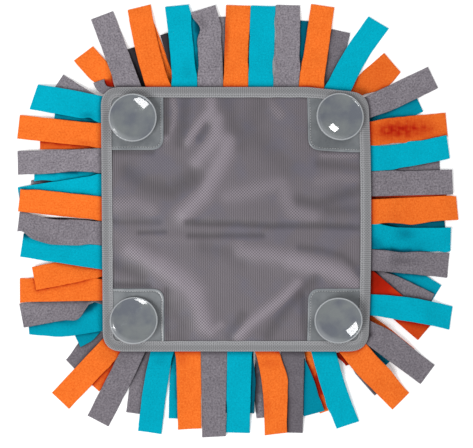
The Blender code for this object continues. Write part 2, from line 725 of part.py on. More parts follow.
def suction_cup(number, foot, azimuth, tilt, finish):
    """A turned cup, dished upwards, whose neck bends so that the cup leans while its flange stays level."""
    base = PANEL_TOP + GAP
    back = NECK_TOP + CUP_BACK
    profile = (
        (FLANGE_R, 0.0),
        (FLANGE_R, FLANGE_THICK),
        (NECK_R, FLANGE_THICK),
        (NECK_R, NECK_TOP - NECK_BEND),
        (NECK_R, NECK_TOP),
        (NECK_R + SHOULDER, NECK_TOP + FLANGE_THICK),
        (CUP_R - 6.0, back - 2.4),
        (CUP_R, back - CUP_THICK),
        (CUP_R, back),
        (CUP_R - CUP_LIP, back),
        (CUP_R - 8.5, back - 0.6 * CUP_DISH),
        (DISH_R, back - 0.95 * CUP_DISH),
    )
    a = math.radians(azimuth)
    lean_x, lean_y = math.cos(a), math.sin(a)
    pivot = NECK_TOP - NECK_BEND

    def place(radius, height, angle):
        share = smooth((height - pivot) / NECK_BEND)
        t = math.radians(tilt) * share
        lx = radius * math.cos(angle)
        ly = radius * math.sin(angle)
        up = height - pivot if share else 0.0
        out = lx * math.cos(t) + up * math.sin(t)
        z = (pivot + up * math.cos(t) - lx * math.sin(t)) if share else height
        x = foot[0] + out * lean_x - ly * lean_y
        y = foot[1] + out * lean_y + ly * lean_x
        return x, y, base + z

    bm = bmesh.new()
    rings = []
    for radius, height in profile:
        angles = [2 * math.pi * k / CUP_SIDES for k in range(CUP_SIDES)]
        rings.append([bm.verts.new(place(radius, height, angle)) for angle in angles])
    for near, far in zip(rings, rings[1:]):
        for k in range(CUP_SIDES):
            n = (k + 1) % CUP_SIDES
            bm.faces.new((near[k], near[n], far[n], far[k]))
    bm.faces.new(rings[0])
    middle = bm.verts.new(place(0.0, back - CUP_DISH, 0.0))
    for k in range(CUP_SIDES):
        bm.faces.new((rings[-1][k], rings[-1][(k + 1) % CUP_SIDES], middle))
    return add_object(f"suction_cup_{number}", bm, finish)


def centre_on_origin(objects):
    """Moves everything so that the middle of the whole mat's underside is the origin."""
    points = np.array([v.co for obj in objects for v in obj.data.vertices])
    low, high = points.min(axis=0), points.max(axis=0)
    shift = (-(low[0] + high[0]) / 2, -(low[1] + high[1]) / 2, -low[2])
    for obj in objects:
        obj.location = shift


def main():
    for obj in list(bpy.data.objects):
        bpy.data.objects.remove(obj)
    fleece = {name: material(f"fleece_{name}", rgb, 0.95) for name, rgb in COLOURS.items()}
    nylon = material("backing_nylon", (0.17, 0.155, 0.178), 0.6)
    tape = material("binding_tape", (0.26, 0.275, 0.288), 0.7)
    vinyl = material("patch_vinyl", (0.162, 0.195, 0.195), 0.3)
    clear = material("suction_cup", (0.42, 0.46, 0.48), 0.15, 0.6)

    objects = [backing_panel(nylon), edge_binding(tape)]
    for number, sign_x, sign_y, x, y, azimuth, tilt in CORNERS:
        foot = neck_foot(x, y, azimuth, tilt)
        objects.append(corner_patch(number, sign_x, sign_y, foot, vinyl))
        objects.append(suction_cup(number, foot, azimuth, tilt, clear))
    bed = Bed()
    objects += [pile_row(number, bed, fleece["grey"]) for number in range(1, PILE_ROWS + 1)]
    objects += [under_row(side, bed, fleece["grey"]) for side in SIDES]
    objects += upper_strips(bed, fleece)
    centre_on_origin(objects)


main()
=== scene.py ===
"""The snuffle mat's finish: brushed fleece strips, creased mesh cloth, tape, vinyl and clear cups.

Everything is in metres, in the mat's own frame: X right, Y away, Z up, lying on Z = 0. Each piece
is shaped around the solid that it stands for, so its place comes from the frame.
"""

import math

import bmesh
import bpy
import numpy as np
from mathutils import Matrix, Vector
from mathutils.bvhtree import BVHTree


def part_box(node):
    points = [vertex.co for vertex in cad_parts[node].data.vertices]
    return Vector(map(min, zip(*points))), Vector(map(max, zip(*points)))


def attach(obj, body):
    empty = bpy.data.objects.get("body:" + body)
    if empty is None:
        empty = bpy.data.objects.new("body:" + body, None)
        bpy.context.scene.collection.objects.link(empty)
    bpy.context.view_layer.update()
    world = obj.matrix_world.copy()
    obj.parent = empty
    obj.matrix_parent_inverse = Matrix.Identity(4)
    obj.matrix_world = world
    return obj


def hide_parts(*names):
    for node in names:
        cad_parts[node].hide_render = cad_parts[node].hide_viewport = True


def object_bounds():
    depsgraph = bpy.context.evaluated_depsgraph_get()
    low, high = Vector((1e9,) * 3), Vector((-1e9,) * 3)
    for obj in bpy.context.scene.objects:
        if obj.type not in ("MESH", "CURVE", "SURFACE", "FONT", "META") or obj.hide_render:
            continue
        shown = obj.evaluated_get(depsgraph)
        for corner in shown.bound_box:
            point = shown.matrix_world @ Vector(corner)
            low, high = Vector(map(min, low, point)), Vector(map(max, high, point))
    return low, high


MM = 0.001
BODY = "root"

# Straight rays that look for the solids' faces.
UP, DOWN = Vector((0, 0, 1)), Vector((0, 0, -1))
NUDGE = 0.01 * MM  # a ray goes on this far past a face that it has met
OUTSIDE = 0.4  # rays towards the mat start this far out
OVERHEAD = 0.1  # rays down start at this height
TURNS = np.linspace(-math.pi, math.pi, 1441)  # directions all the way round

# The fleece strips.
FLEECE = 1.6 * MM  # thickness
STRIP_WIDTH = 24.3 * MM
UPPER_TIPS = (10 * MM, 60 * MM)  # the shortest and the longest cut end that is a strip's tip
COMB_TIPS = (20 * MM, 30 * MM)
COMB_ROOT = 4 * MM  # the lower strips go on this far under the binding
RIM_ANGLE = math.radians(55)  # a solid's edges sharper than this are its rims
STEEP = 0.7  # and those that rise by more than this share of their length are upright
RIM_ROUNDING = 7.0 * MM
CUT_EDGE = ((0, 0), (0.12, 0.5), (0.4, 0.8), (1.1, 0.97))  # mm from the edge, share of thickness
TIP_SHARE = 0.3  # least share of the thickness at the tip
ACROSS = 11  # points across the flat middle
STRIP_STEP, FINE_STEP = 1.5 * MM, 0.5 * MM
ROOT_CALM = (9.0 * MM, 28.0 * MM)  # from the root, where ripples start and where they are full
RIPPLE, RIPPLE_WAVES = 0.7 * MM, (18 * MM, 55 * MM)  # height, shortest and longest wave
CURL, CURL_WAVES = 0.7 * MM, (40 * MM, 120 * MM)
EDGE_WOBBLE, WOBBLE_WAVES = 0.22 * MM, (8 * MM, 30 * MM)
SLANT_REACH = 14  # mm back from the tip
LIFT_BLUR = 6
TOUCH_BLUR = 5
KEEP_OFF = 0.2 * MM  # left free under the solid above
FLOOR_CLEAR = 0.05 * MM
CLOSE = (3.0 * MM, 3.8 * MM)  # edges this near each other widen until they meet
TOUCH = 0.07 * MM  # and leave this between them
FREE = 40 * MM  # how far up a strip looks for a solid
COVER = 14 * MM  # what is nearer than this above a point covers it
# painted shadow where a solid covers a strip: a narrow dark edge and a wide soft one
COVERED, COVER_BLUR = 0.58, 2  # loss of light there, and how soft its edge is
SHADOW, SHADOW_BLUR = 0.42, 14
# painted shade near the root: how much darker, and from where to where it fades out
ROOT_SHADE, ROOT_DARK = 0.2, (5 * MM, 13 * MM)
UNEVEN, UNEVEN_WAVES = 0.05, (14 * MM, 45 * MM)
MOTTLE_WAVES = (3.5 * MM, 9 * MM)
TONE_WAVES = 7

# What each strip does of its own, in mm. Slants: how much further the tip reaches at its left and
# at its right edge. Pulls move an edge, L or R: distance from the tip, reach, shift to the strip's
# right. Dents: distance from the tip, share across, reach along, reach across, depth, change of
# tone, which is painted shade below zero and painted light above. The upper strips go by their
# numbers, the lower ones by their side and place along it.
SLANTS = {
    4: (-2.8, 3),
    14: (0, 1.5),
    25: (-1, 0.4),
    26: (-0.5, 0.5),
    40: (0, -4),
    ("top", 1): (5.3, 0.7),
}
L, R = 0, 1
PULLS = {
    4: ((L, 20, 8, 4.8), (R, 18, 12, 2.2)),
    7: ((L, 15, 12, -1.3),),
    11: ((L, 70, 14, -1), (R, 66, 13, 2.3), (R, 48, 8, 1), (R, 30, 18, 1.5)),
    14: ((R, 45, 15, 2.8),),
    15: ((L, 75, 12, -2.5), (R, 52, 22, 2.6)),
    16: ((L, 50, 18, 2.8),),
    19: ((L, 60, 30, -2),),
    20: ((L, 66, 22, -4), (L, 31, 15, -2.6)),
    21: ((L, 80, 20, -3),),
    23: ((L, 58, 14, -2.2), (L, 12, 20, 1.8), (R, 30, 25, 0.8)),
    30: ((L, 35, 20, -1.5), (R, 76, 18, 7)),
    31: ((L, 74, 9, 7), (L, 57, 8, -3.2)),
    32: ((R, 74, 12, 2),),
    33: ((L, 68, 9, -2.4),),
    35: ((L, 36, 20, -4.8), (L, 62, 13, -2.4), (R, 36, 20, -3.4), (L, 4, 8, 5.5)),
    36: ((R, 3, 9, -1.6),),
    38: ((L, 57, 18, 1.8),),
    40: ((L, 62, 5, 2.2), (R, 35, 70, 2.6)),
    ("top", 0): ((L, 20, 12, 1.5), (R, 28, 20, 2.5)),
    ("top", 1): ((L, 0, 40, -2.5), (L, 20, 14, -11.5), (R, 6, 16, -20)),
    ("top", 10): ((R, 20, 22, 4), (R, 42, 10, 2.5)),
    ("right", 6): ((L, 20, 30, 1.2),),
    ("bottom", 1): ((R, 0, 16, -12),),
    ("bottom", 2): ((R, 22, 45, 3.2),),
    ("bottom", 3): ((L, 25, 60, 4),),
    ("bottom", 5): ((L, 20, 50, 3.5),),
    ("left", 0): ((R, 22, 12, 3.5),),
    ("left", 4): ((R, 10, 22, 2.6),),
    ("left", 5): ((L, 8, 22, 2.4),),
}
DENTS = {
    3: ((70, 0.6, 9, 7, 0.5, -0.12), (58, 0.3, 14, 6, 0.3, 0.05)),
    4: ((14, 0.25, 9, 5, 0.8, -0.2), (40, 0.3, 16, 5, 0.3, 0.06), (52, 0.8, 18, 4, 0.4, -0.08)),
    5: ((35, 0.06, 24, 2.6, 0.6, -0.35),),
    11: (
        (43, 0.5, 20, 9, 0.5, -0.42), (64, 0.45, 14, 8, 0.2, -0.24),
        (19, 0.6, 10, 6, 0.1, -0.16),
    ),
    14: ((60, 0.7, 12, 5, 0.3, -0.06),),
    17: ((82, 0.5, 24, 30, 0, -0.5),),
    15: (
        (46, 0.25, 10, 6, 0.9, -0.28), (78, 0.85, 7, 8, 0.6, -0.35),
        (30, 0.7, 16, 6, 0.3, -0.08),
    ),
    16: ((46, 0.42, 16, 4, 0.8, -0.22), (64, 0.2, 12, 5, -0.3, 0.08)),
    23: ((74, 0.5, 5, 12, 0.6, -0.12), (30, 0.9, 12, 4, 0.3, -0.1)),
    26: ((74, 0.75, 8, 5, 0.5, -0.14),),
    27: ((76, 0.5, 6, 10, 0.4, -0.12),),
    30: ((44, 0.55, 12, 4, 0.6, -0.2),),
    31: ((66, 0.35, 8, 5, 0.5, -0.15),),
    33: ((62, 0.85, 18, 4, 0.3, -0.12),),
    35: ((25, 0.05, 14, 4, 0.4, -0.12),),
    36: ((40, 0.03, 40, 2, 0.2, -0.18),),
    39: ((72, 0.1, 14, 3, 0.3, -0.18),),
    40: ((60, 0.1, 8, 3, 0.6, -0.3), (58, 0.5, 14, 7, 0.3, -0.08)),
    # painted light, to take back the painted shadow of the short grey end, which is drawn aside
    # here
    ("top", 0): ((35, 0.85, 9, 8, 0, 2),),
}

# How mottled the painted shade of a strip's dents is.
MOTTLING = 0.2
MOTTLED = {11: 0.65}

# How much further the left and the right edge of a half-hidden end go on under the binding.
LONG_ROOTS = {("top", 1): (14 * MM, 4 * MM)}

# How light the upper strips are: those that face the light, and the ones that lie in shade.
LIT = tuple(range(1, 10)) + tuple(range(36, 41))
LIT_TONE = 1.07
SHADY = {
    10: 0.96, 11: 0.92, 12: 1.05, 13: 0.94, 15: 0.97, 16: 0.86, 17: 0.65, 19: 0.87, 22: 0.7,
    25: 0.88, 27: 0.97, 28: 0.86, 30: 0.88, 31: 0.91, 35: 0.95,
}

# The way that each side's lower strips are counted: clockwise.
SIDES = {"top": (1, 0), "right": (0, -1), "bottom": (-1, 0), "left": (0, 1)}

# Colours of the lower strips, with their tones in hundredths: mostly painted shade below 100,
# where they lie in shade under the upper strips, and painted light above 100.
LOWER_COLOURS = {
    "top": (
        "orange:108 grey:98 grey:32 orange:130 grey:28 teal:98 grey:106 orange:80 teal:50 "
        "grey:82 orange:92"
    ),
    "right": "teal:76 grey:100 orange:92 teal:46 teal:84 grey:85 orange:88 teal:55",
    "bottom": (
        "grey:92 orange:38 orange:170 teal:70 grey:106 teal:40 orange:80 teal:90 grey:86 "
        "orange:96"
    ),
    "left": "grey:80 teal:76 orange:108 grey:75 grey:130 teal:112 orange:82 teal:110 grey:104",
}
# The pile's tone of 80 is painted shade under the panel.
PILE_COLOURS = "grey:80 orange:80 teal:80 grey:80 teal:80 orange:80 grey:80 teal:80"


# -------- the frame

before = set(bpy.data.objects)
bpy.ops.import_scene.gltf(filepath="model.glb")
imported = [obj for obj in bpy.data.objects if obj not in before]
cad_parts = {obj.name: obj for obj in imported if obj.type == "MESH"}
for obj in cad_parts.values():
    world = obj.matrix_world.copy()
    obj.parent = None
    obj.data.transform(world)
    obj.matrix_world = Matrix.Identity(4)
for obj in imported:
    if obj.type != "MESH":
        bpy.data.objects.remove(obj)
cad_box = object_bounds()


def tree_of(nodes):
    """One search tree for the faces of several solids."""
    points, faces = [], []
    for node in nodes:
        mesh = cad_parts[node].data
        start = len(points)
        points += [v.co.copy() for v in mesh.vertices]
        faces += [[start + i for i in p.vertices] for p in mesh.polygons]
    return BVHTree.FromPolygons(points, faces)


def merged(node):
    """A solid with each of its corner points once."""
    bm = bmesh.new()
    bm.from_mesh(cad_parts[node].data)
    bmesh.ops.remove_doubles(bm, verts=bm.verts, dist=NUDGE)
    return bm


def corners_of(node):
    bm = merged(node)
    points = np.array([v.co for v in bm.verts])
    bm.free()
    return points


# -------- numbers and lines

def smooth(t):
    """An even rise from 0 to 1."""
    t = np.clip(t, 0.0, 1.0)
    return t * t * (3 - 2 * t)


def rising(values, start, end):
    return smooth((values - start) / (end - start))


def bell(distance, reach):
    """1 at no distance, little at the reach and nothing far off."""
    return np.exp(-((distance / reach) ** 2))


def unit(vectors):
    return vectors / np.linalg.norm(vectors, axis=-1, keepdims=True)


def directions(turns):
    """Level unit vectors at many angles."""
    return np.stack([np.cos(turns), np.sin(turns)], axis=1)


def run_along(points):
    """The distance along a line at each of its points."""
    return np.concatenate([[0], np.cumsum(np.linalg.norm(np.diff(points, axis=0), axis=1))])


def places_at(distances, run, points):
    """The places at some distances along a line."""
    return np.stack([np.interp(distances, run, column) for column in points.T], axis=1)


def averaged(padded, reach):
    """Running averages down padded columns, weighted to the middle, that take the padding off."""
    weights = np.hanning(2 * reach + 3)[1:-1]
    return np.apply_along_axis(np.convolve, 0, padded, weights / weights.sum(), "valid")


def ring_averaged(rows, reach):
    return averaged(np.concatenate([rows[-reach:], rows, rows[:reach]]), reach)


def blurred(grid, passes):
    """A grid of values evened out between neighbours."""
    for _ in range(passes):
        padded = np.pad(grid, 1, mode="edge")
        beside = padded[:-2, 1:-1] + padded[2:, 1:-1] + padded[1:-1, :-2] + padded[1:-1, 2:]
        grid = (beside + 4 * grid) / 8
    return grid


def waves(rng, x, y, lengths, count=5):
    """Soft unevenness from -1 to 1 over two distances: a few slanting waves added up."""
    total = 0.0
    for _ in range(count):
        turn, size = rng.uniform(0, math.pi), rng.uniform(*lengths)
        slanting = (x * math.cos(turn) + y * math.sin(turn)) * 2 * math.pi / size
        total = total + np.sin(slanting + rng.uniform(0, 2 * math.pi))
    return total / count


# -------- making meshes

class Batch:
    """The points, faces, cloth coordinates and tones of one piece, gathered part by part."""

    def __init__(self):
        self.points, self.faces, self.cloth, self.tone = [], [], [], []

    def add(self, points, faces, cloth, tone=1.0):
        start = sum(len(p) for p in self.points)
        self.points.append(np.asarray(points, float))
        self.faces += [[start + i for i in face] for face in faces]
        self.cloth.append(np.asarray(cloth, float))
        self.tone.append(np.broadcast_to(tone, len(points)))

    def piece(self, name, material, slot):
        mesh = bpy.data.meshes.new(name)
        mesh.from_pydata(np.concatenate(self.points).tolist(), [], self.faces)
        corner_points = np.zeros(len(mesh.loops), np.int32)
        mesh.loops.foreach_get("vertex_index", corner_points)
        cloth = np.concatenate(self.cloth)[corner_points].astype(np.float32)
        mesh.uv_layers.new(name="cloth").data.foreach_set("uv", cloth.ravel())
        tone = mesh.attributes.new("tone", "FLOAT", "POINT")
        tone.data.foreach_set("value", np.concatenate(self.tone).astype(np.float32))
        mesh.shade_smooth()
        mesh.materials.append(material)
        return dressed(name, mesh)


def linked(name, data):
    obj = bpy.data.objects.new(name, data)
    bpy.context.scene.collection.objects.link(obj)
    return obj


def dressed(name, mesh):
    """Puts a finished piece in the scene, on the mat's body."""
    obj = linked(name, mesh)
    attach(obj, BODY)
    return obj


def skin(count, ring, closed=False):
    """Faces of a tube through sections with as many points each, with ends unless it is closed."""
    faces = []
    for k in range(count if closed else count - 1):
        a, b = k * ring, (k + 1) % count * ring
        for c in range(ring):
            n = (c + 1) % ring
            faces.append((a + c, a + n, b + n, b + c))
    if not closed:
        faces.append(tuple(range(ring))[::-1])
        faces.append(tuple((count - 1) * ring + c for c in range(ring)))
    return faces


def outwards(obj):
    """Turns a closed mesh's faces outwards."""
    bm = bmesh.new()
    bm.from_mesh(obj.data)
    bmesh.ops.recalc_face_normals(bm, faces=bm.faces)
    bm.to_mesh(obj.data)
    bm.free()


def outline(tree, centre, level, turns):
    """How far a solid reaches from a point in each of many directions, at one level."""
    start = Vector((centre[0], centre[1], level))
    ways = [Vector((*way, 0)) for way in directions(turns)]
    return np.array([OUTSIDE - tree.ray_cast(start + way * OUTSIDE, -way)[3] for way in ways])


# -------- fleece strips

def rims(node, narrowest, widest):
    """The two top edges of each ribbon in a solid, from root to tip, left edge first."""
    bm = merged(node)
    sharp = {e for e in bm.edges if e.calc_face_angle(0.0) > RIM_ANGLE}

    def at(vert):
        return [e for e in vert.link_edges if e in sharp]

    def is_corner(vert):
        return len(at(vert)) == 3 and all(e.is_convex for e in at(vert))

    def upright(edge):
        return abs(edge.verts[0].co.z - edge.verts[1].co.z) > STEEP * edge.calc_length()

    def middle(edge):
        return (edge.verts[0].co + edge.verts[1].co) / 2

    def walk(start, cap):
        path = [start]
        edge = next(e for e in at(start) if e is not cap and not upright(e))
        while True:
            path.append(edge.other_vert(path[-1]))
            ahead = [e for e in at(path[-1]) if e is not edge]
            if len(ahead) != 1:
                return np.array([v.co for v in reversed(path)])
            edge = ahead[0]

    def is_cap(edge):
        return narrowest < edge.calc_length() < widest and all(map(is_corner, edge.verts))

    tops = []
    for cap in sorted(filter(is_cap, sharp), key=lambda e: -middle(e).z):
        if all((middle(cap) - middle(other)).xy.length > 2 * FLEECE for other in tops):
            tops.append(cap)
    if node.startswith("strip"):
        tops = [max(tops, key=lambda e: middle(e).xy.length)]
    found = []
    for cap in tops:
        edges = [walk(v, cap) for v in cap.verts]
        way = sum(e[-1] - e[0] for e in edges)
        aside = edges[1][-1] - edges[0][-1]
        if way[0] * aside[1] - way[1] * aside[0] > 0:
            edges.reverse()
        found.append(edges)
    bm.free()
    return found


def eased(points):
    """A line with its corners rounded: its length, and its places at any shares of that."""
    run = run_along(points)
    at = np.linspace(0, run[-1], int(run[-1] / FINE_STEP) + 1)
    line = places_at(at, run, points)
    reach = int(RIM_ROUNDING / FINE_STEP)
    before = 2 * line[0] - line[reach:0:-1]
    after = 2 * line[-1] - line[-2:-reach - 2:-1]
    line = averaged(np.concatenate([before, line, after]), reach)
    return run[-1], lambda shares: places_at(shares * run[-1], at, line)


def cross_section():
    """Shares across a strip from left to right, and the half thickness there."""
    edge = [(x * MM / STRIP_WIDTH, share) for x, share in CUT_EDGE]
    inner = np.linspace(edge[-1][0], 1 - edge[-1][0], ACROSS + 2)[1:-1]
    left = edge + [(u, 1.0) for u in inner]
    return np.array(left + [(1 - u, share) for u, share in reversed(edge)])


SECTION = cross_section()
ALL_SOLIDS = tree_of(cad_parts)


def faces_met(start, way, reach):
    """The faces that a ray meets, one after another: place, normal and distance."""
    gone = 0.0
    while gone < reach:
        place, normal, _, away = ALL_SOLIDS.ray_cast(start, way, reach - gone)
        if place is None:
            return
        yield place, normal, gone + away
        start = place + way * NUDGE
        gone += away + NUDGE


def room_above(point):
    """How far a point can rise before it meets the underside of the solid over it."""
    for place, normal, _ in faces_met(Vector(point), UP, FREE):
        if normal.z < 0 and place.z > point[2]:
            return place.z - point[2]
    return FREE


def gap_beside(point, way):
    """How far a point of a strip's edge is from the solid beside it."""
    for _, normal, far in faces_met(Vector(point) - UP * FLEECE / 2, way, CLOSE[1]):
        if normal.dot(way) < 0:
            return far
    return CLOSE[1]


def both_faces(upper, lower):
    """A closed ring for each section: across the upper face and back across the lower one."""
    return np.concatenate([upper, lower[:, -2:0:-1]], axis=1)


def ribbon(batch, edges, seed, tone=1.0, extend=0.0, own=None):
    """A soft strip between its two top edges: cut edges rounded, slightly waved and curled.

    own is the strip's key in the tables of pulls, slants and dents. Returns its flat area.
    """
    rng = np.random.default_rng(seed)
    if extend:
        tails = LONG_ROOTS.get(own, (extend, extend))
        edges = [np.vstack([e[0] - unit(e[1] - e[0]) * t, e]) for e, t in zip(edges, tails)]
    (left_long, left_at), (right_long, right_at) = map(eased, edges)
    long = (left_long + right_long) / 2
    body = np.linspace(0, long - CUT_EDGE[-1][0] * MM, int(long / STRIP_STEP))
    tip = CUT_EDGE[-2::-1]
    s = np.concatenate([body, [long - x * MM for x, _ in tip]])
    thin = np.concatenate([np.ones(len(body)), [max(share, TIP_SHARE) for _, share in tip]])
    left, right = left_at(s / long), right_at(s / long)
    aside = unit(right - left)
    forward = np.gradient((left + right) / 2, s, axis=0)
    up = unit(np.cross(aside, forward))
    calm = rising(s, *ROOT_CALM)

    # the edges
    from_tip = (long - s) / MM
    for line, sign, further in zip((left, right), (-1, 1), SLANTS.get(own, (0, 0))):
        gap = np.array([gap_beside(*spot) for spot in zip(line, map(Vector, aside * sign))])
        alone = rising(gap, *CLOSE)
        spread = np.maximum(gap / 2 - TOUCH, 0) * (1 - alone)
        spread = np.pad(spread, TOUCH_BLUR // 2, mode="edge")
        spread = np.convolve(spread, np.ones(TOUCH_BLUR) / TOUCH_BLUR, "valid")
        wobble = EDGE_WOBBLE * calm * alone * waves(rng, s, 0 * s, WOBBLE_WAVES)
        line += aside * (sign * (wobble + spread))[:, None]
        line += forward * (further * MM * smooth(1 - from_tip / SLANT_REACH))[:, None]
    for line, middle, reach, shift in PULLS.get(own, ()):
        line = (left, right)[line]
        line += aside * (shift * MM * bell(from_tip - middle, reach))[:, None]

    # the rise of the cloth between them, and its tone: random unevenness with painted shade and
    # light
    u, half = SECTION.T
    grid = left[:, None] * (1 - u)[:, None] + right[:, None] * u[:, None]
    x, y = np.meshgrid(s, u * STRIP_WIDTH, indexing="ij")
    lift = RIPPLE * (1 + waves(rng, x, y, RIPPLE_WAVES)) / 2
    bend = CURL * (1 + waves(rng, x, 0 * y, CURL_WAVES)) / 2
    lift += bend * (2 * u - 1) ** 2
    lift *= calm[:, None]
    shade = 1 + UNEVEN * waves(rng, x, y, UNEVEN_WAVES, TONE_WAVES)
    mottling = MOTTLED.get(own, MOTTLING) * waves(rng, x, y, MOTTLE_WAVES, TONE_WAVES)
    for middle, share, along, across, depth, change in DENTS.get(own, ()):
        spot = bell((long - x) / MM - middle, along)
        spot *= bell((y - share * STRIP_WIDTH) / MM, across)
        lift -= depth * MM * spot
        shade += change * spot * (1 + mottling)
    room = np.array([room_above(point) for point in grid.reshape(-1, 3)]).reshape(lift.shape)
    # painted shadow where a solid lies close above the strip
    covered = (room < COVER).astype(float)
    shade *= 1 - COVERED * blurred(covered, COVER_BLUR)
    shade *= 1 - SHADOW * blurred(covered, SHADOW_BLUR)
    # painted shade near the root, where the strip comes out from under the binding
    shade *= 1 - ROOT_SHADE * (1 - rising(x, *ROOT_DARK))
    limit = np.maximum(room - KEEP_OFF, 0)
    lift = np.minimum(blurred(np.minimum(lift, limit), LIFT_BLUR), limit)

    # the closed sections
    middle = grid + up[:, None] * (lift[..., None] - FLEECE / 2)
    thick = up[:, None] * (thin[:, None] * half * FLEECE / 2)[..., None]
    rings = both_faces(middle + thick, middle - thick)
    rings[..., 2] = np.maximum(rings[..., 2], FLOOR_CLEAR)
    around = both_faces(u[None], u[None])[0] * STRIP_WIDTH
    cloth = np.meshgrid(s + rng.uniform(0, 1), around + rng.uniform(0, 1), indexing="ij")
    cloth = np.stack(cloth, axis=-1).reshape(-1, 2)
    tones = tone * both_faces(shade, shade)
    batch.add(rings.reshape(-1, 3), skin(*rings.shape[:2]), cloth, tones.ravel())
    return float(long * STRIP_WIDTH)


def upper_strips(fleece):
    """One piece for each strip of the upper row."""
    for node in sorted(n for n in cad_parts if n.startswith("strip")):
        _, number, colour = node.split("_")
        own = int(number)
        batch = Batch()
        # painted light on the strips in LIT, painted shade on those in SHADY
        tone = SHADY.get(own, LIT_TONE if own in LIT else 1.0)
        flat = ribbon(batch, rims(node, *UPPER_TIPS)[0], own, tone, own=own)
        piece = batch.piece(f"fleece_{number}_{colour}", fleece[colour], f"fleece_{colour}")
        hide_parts(node)


def comb(node, words, way, fleece, extend):
    """The strips of one comb, taken in order along a way: one piece for each colour."""
    edges = sorted(rims(node, *COMB_TIPS), key=lambda e: (e[0][0] + e[1][0])[:2] @ way)
    batches = {}
    for k, (edge, word) in enumerate(zip(edges, words, strict=True)):
        colour, tone = word.split(":")
        batch, areas = batches.setdefault(colour, (Batch(), []))
        seed = sum(map(ord, node)) * 100 + k
        own = (node.split("_")[-1], k)
        # the tone: the painted shade and light listed with the colours
        areas.append(ribbon(batch, edge, seed, int(tone) / 100, extend, own))
    for colour, (batch, areas) in batches.items():
        piece = batch.piece(f"{node}_{colour}", fleece[colour], f"fleece_{colour}")
        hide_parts(node)
        sum(areas) / STRIP_WIDTH


def lower_strips(fleece):
    for side, way in SIDES.items():
        comb(f"under_row_{side}", LOWER_COLOURS[side].split(), way, fleece, COMB_ROOT)


def pile_strips(fleece):
    """The pile under the panel: the same colours in each row, moved on by three."""
    words = PILE_COLOURS.split()
    for row in range(1, 5):
        turn = 3 * row % len(words)
        comb(f"pile_row_{row}", words[turn:] + words[:turn], (1, 0), fleece, 0.0)


# -------- the backing cloth

# Half width in mm, strength (above zero a ridge with painted sheen, below zero a hollow with
# painted shade), points along it.
CREASES = (
    (5.2, 1.05, (-27, 128), (-26, 113), (-35, 101), (-50, 81)),
    (6.6, 0.95, (-20, 103), (-21, 87), (-30, 74), (-41, 60)),
    (8.4, 1.15, (-8, 80), (-11, 70), (-18, 56), (-26, 40), (-34, 26), (-54, 7)),
    (3.6, 0.45, (-66, 125), (-62, 111), (-64, 98), (-72, 84)),
    (7.1, 0.45, (-126, 15), (-104, 18), (-87, 11)),
    (8.2, 0.45, (-9, 25), (9, 28), (28, 34), (46, 38), (50, 23), (57, 10), (77, 4)),
    (6.1, 0.25, (83, 40), (105, 44), (122, 41)),
    (5.1, 0.4, (31, 125), (37, 115), (43, 108)),
    (8.2, 1, (-108, -30), (-94, -37), (-76, -49), (-56, -62), (-44, -74), (-38, -88), (-32, -107)),
    (9.2, 0.4, (-74, -43), (-52, -56), (-39, -71)),
    (8.2, 0.7, (3, -33), (26, -34), (54, -38), (85, -46), (105, -52), (120, -61)),
    (8, 0.55, (56, -44), (85, -51), (105, -57), (120, -66)),
    (5.8, 1.05, (1, -118), (13, -105), (30, -92), (47, -79), (62, -65)),
    (4.1, 0.5, (-26, -114), (-16, -106)),
    (3.1, 0.5, (87, 67), (105, 66), (120, 67)),
    (5.1, 0.15, (-127, -15), (-58, -20), (3, -23)),
    (6.1, -0.9, (-52, 125), (-54, 103), (-57, 80)),
    (4.1, -0.8, (-31, 96), (-38, 84)),
    (8.2, -0.45, (-11, 125), (-4, 98), (3, 77)),
    (12.2, -0.4, (26, 123), (13, 93), (34, 72), (54, 52)),
    (9.2, -0.9, (-111, 50), (-89, 35), (-66, 31), (-44, 44)),
    (5.1, -0.6, (83, 58), (122, 54)),
    (6.1, -0.8, (64, 21), (83, 17), (101, 24), (124, 31)),
    (5.1, -0.6, (93, 11), (122, 11)),
    (3.3, -1.3, (-50, -2), (1, -3), (36, -5), (85, -5), (124, -7)),
    (3.6, -0.8, (-126, -1), (-79, -1)),
    (2.5, -0.9, (-99, -12), (-73, -11)),
    (3.1, -1, (-48, -15), (26, -15)),
    (7.1, -0.85, (-124, -45), (-103, -51), (-97, -56)),
    (8.2, -0.45, (-33, -26), (-12, -31), (6, -41)),
    (4.1, -0.7, (65, -27), (87, -30), (108, -36), (119, -45), (124, -55)),
    (6.1, -0.8, (81, -59), (67, -70), (54, -86), (44, -100), (32, -116)),
    (5.1, -0.8, (6, -96), (-1, -107), (-7, -118)),
    (9.2, -0.5, (-69, -87), (-54, -100), (-58, -116)),
    (3.8, -1.3, (69, -78), (69, -100), (71, -118)),
    (3.4, -1.4, (-72, 125), (-72, 90)),
    (3.2, -1.3, (-127, 71), (-86, 70)),
    (3.6, -1.4, (-127, -66), (-112, -65), (-90, -66)),
    (3.2, -0.8, (-71, -70), (-70, -118)),
    (2.2, -0.5, (87, 70), (121, 69)),
)
CREASE_MOST = 1.3
RIDGE, HOLLOW = 0.8 * MM, 0.45 * MM  # how far a crease of strength one rises or falls
# painted sheen on a ridge and painted shade in a hollow
PAINTED_SHEEN, SHADED = 0.95, 0.5  # and how much lighter or darker it is
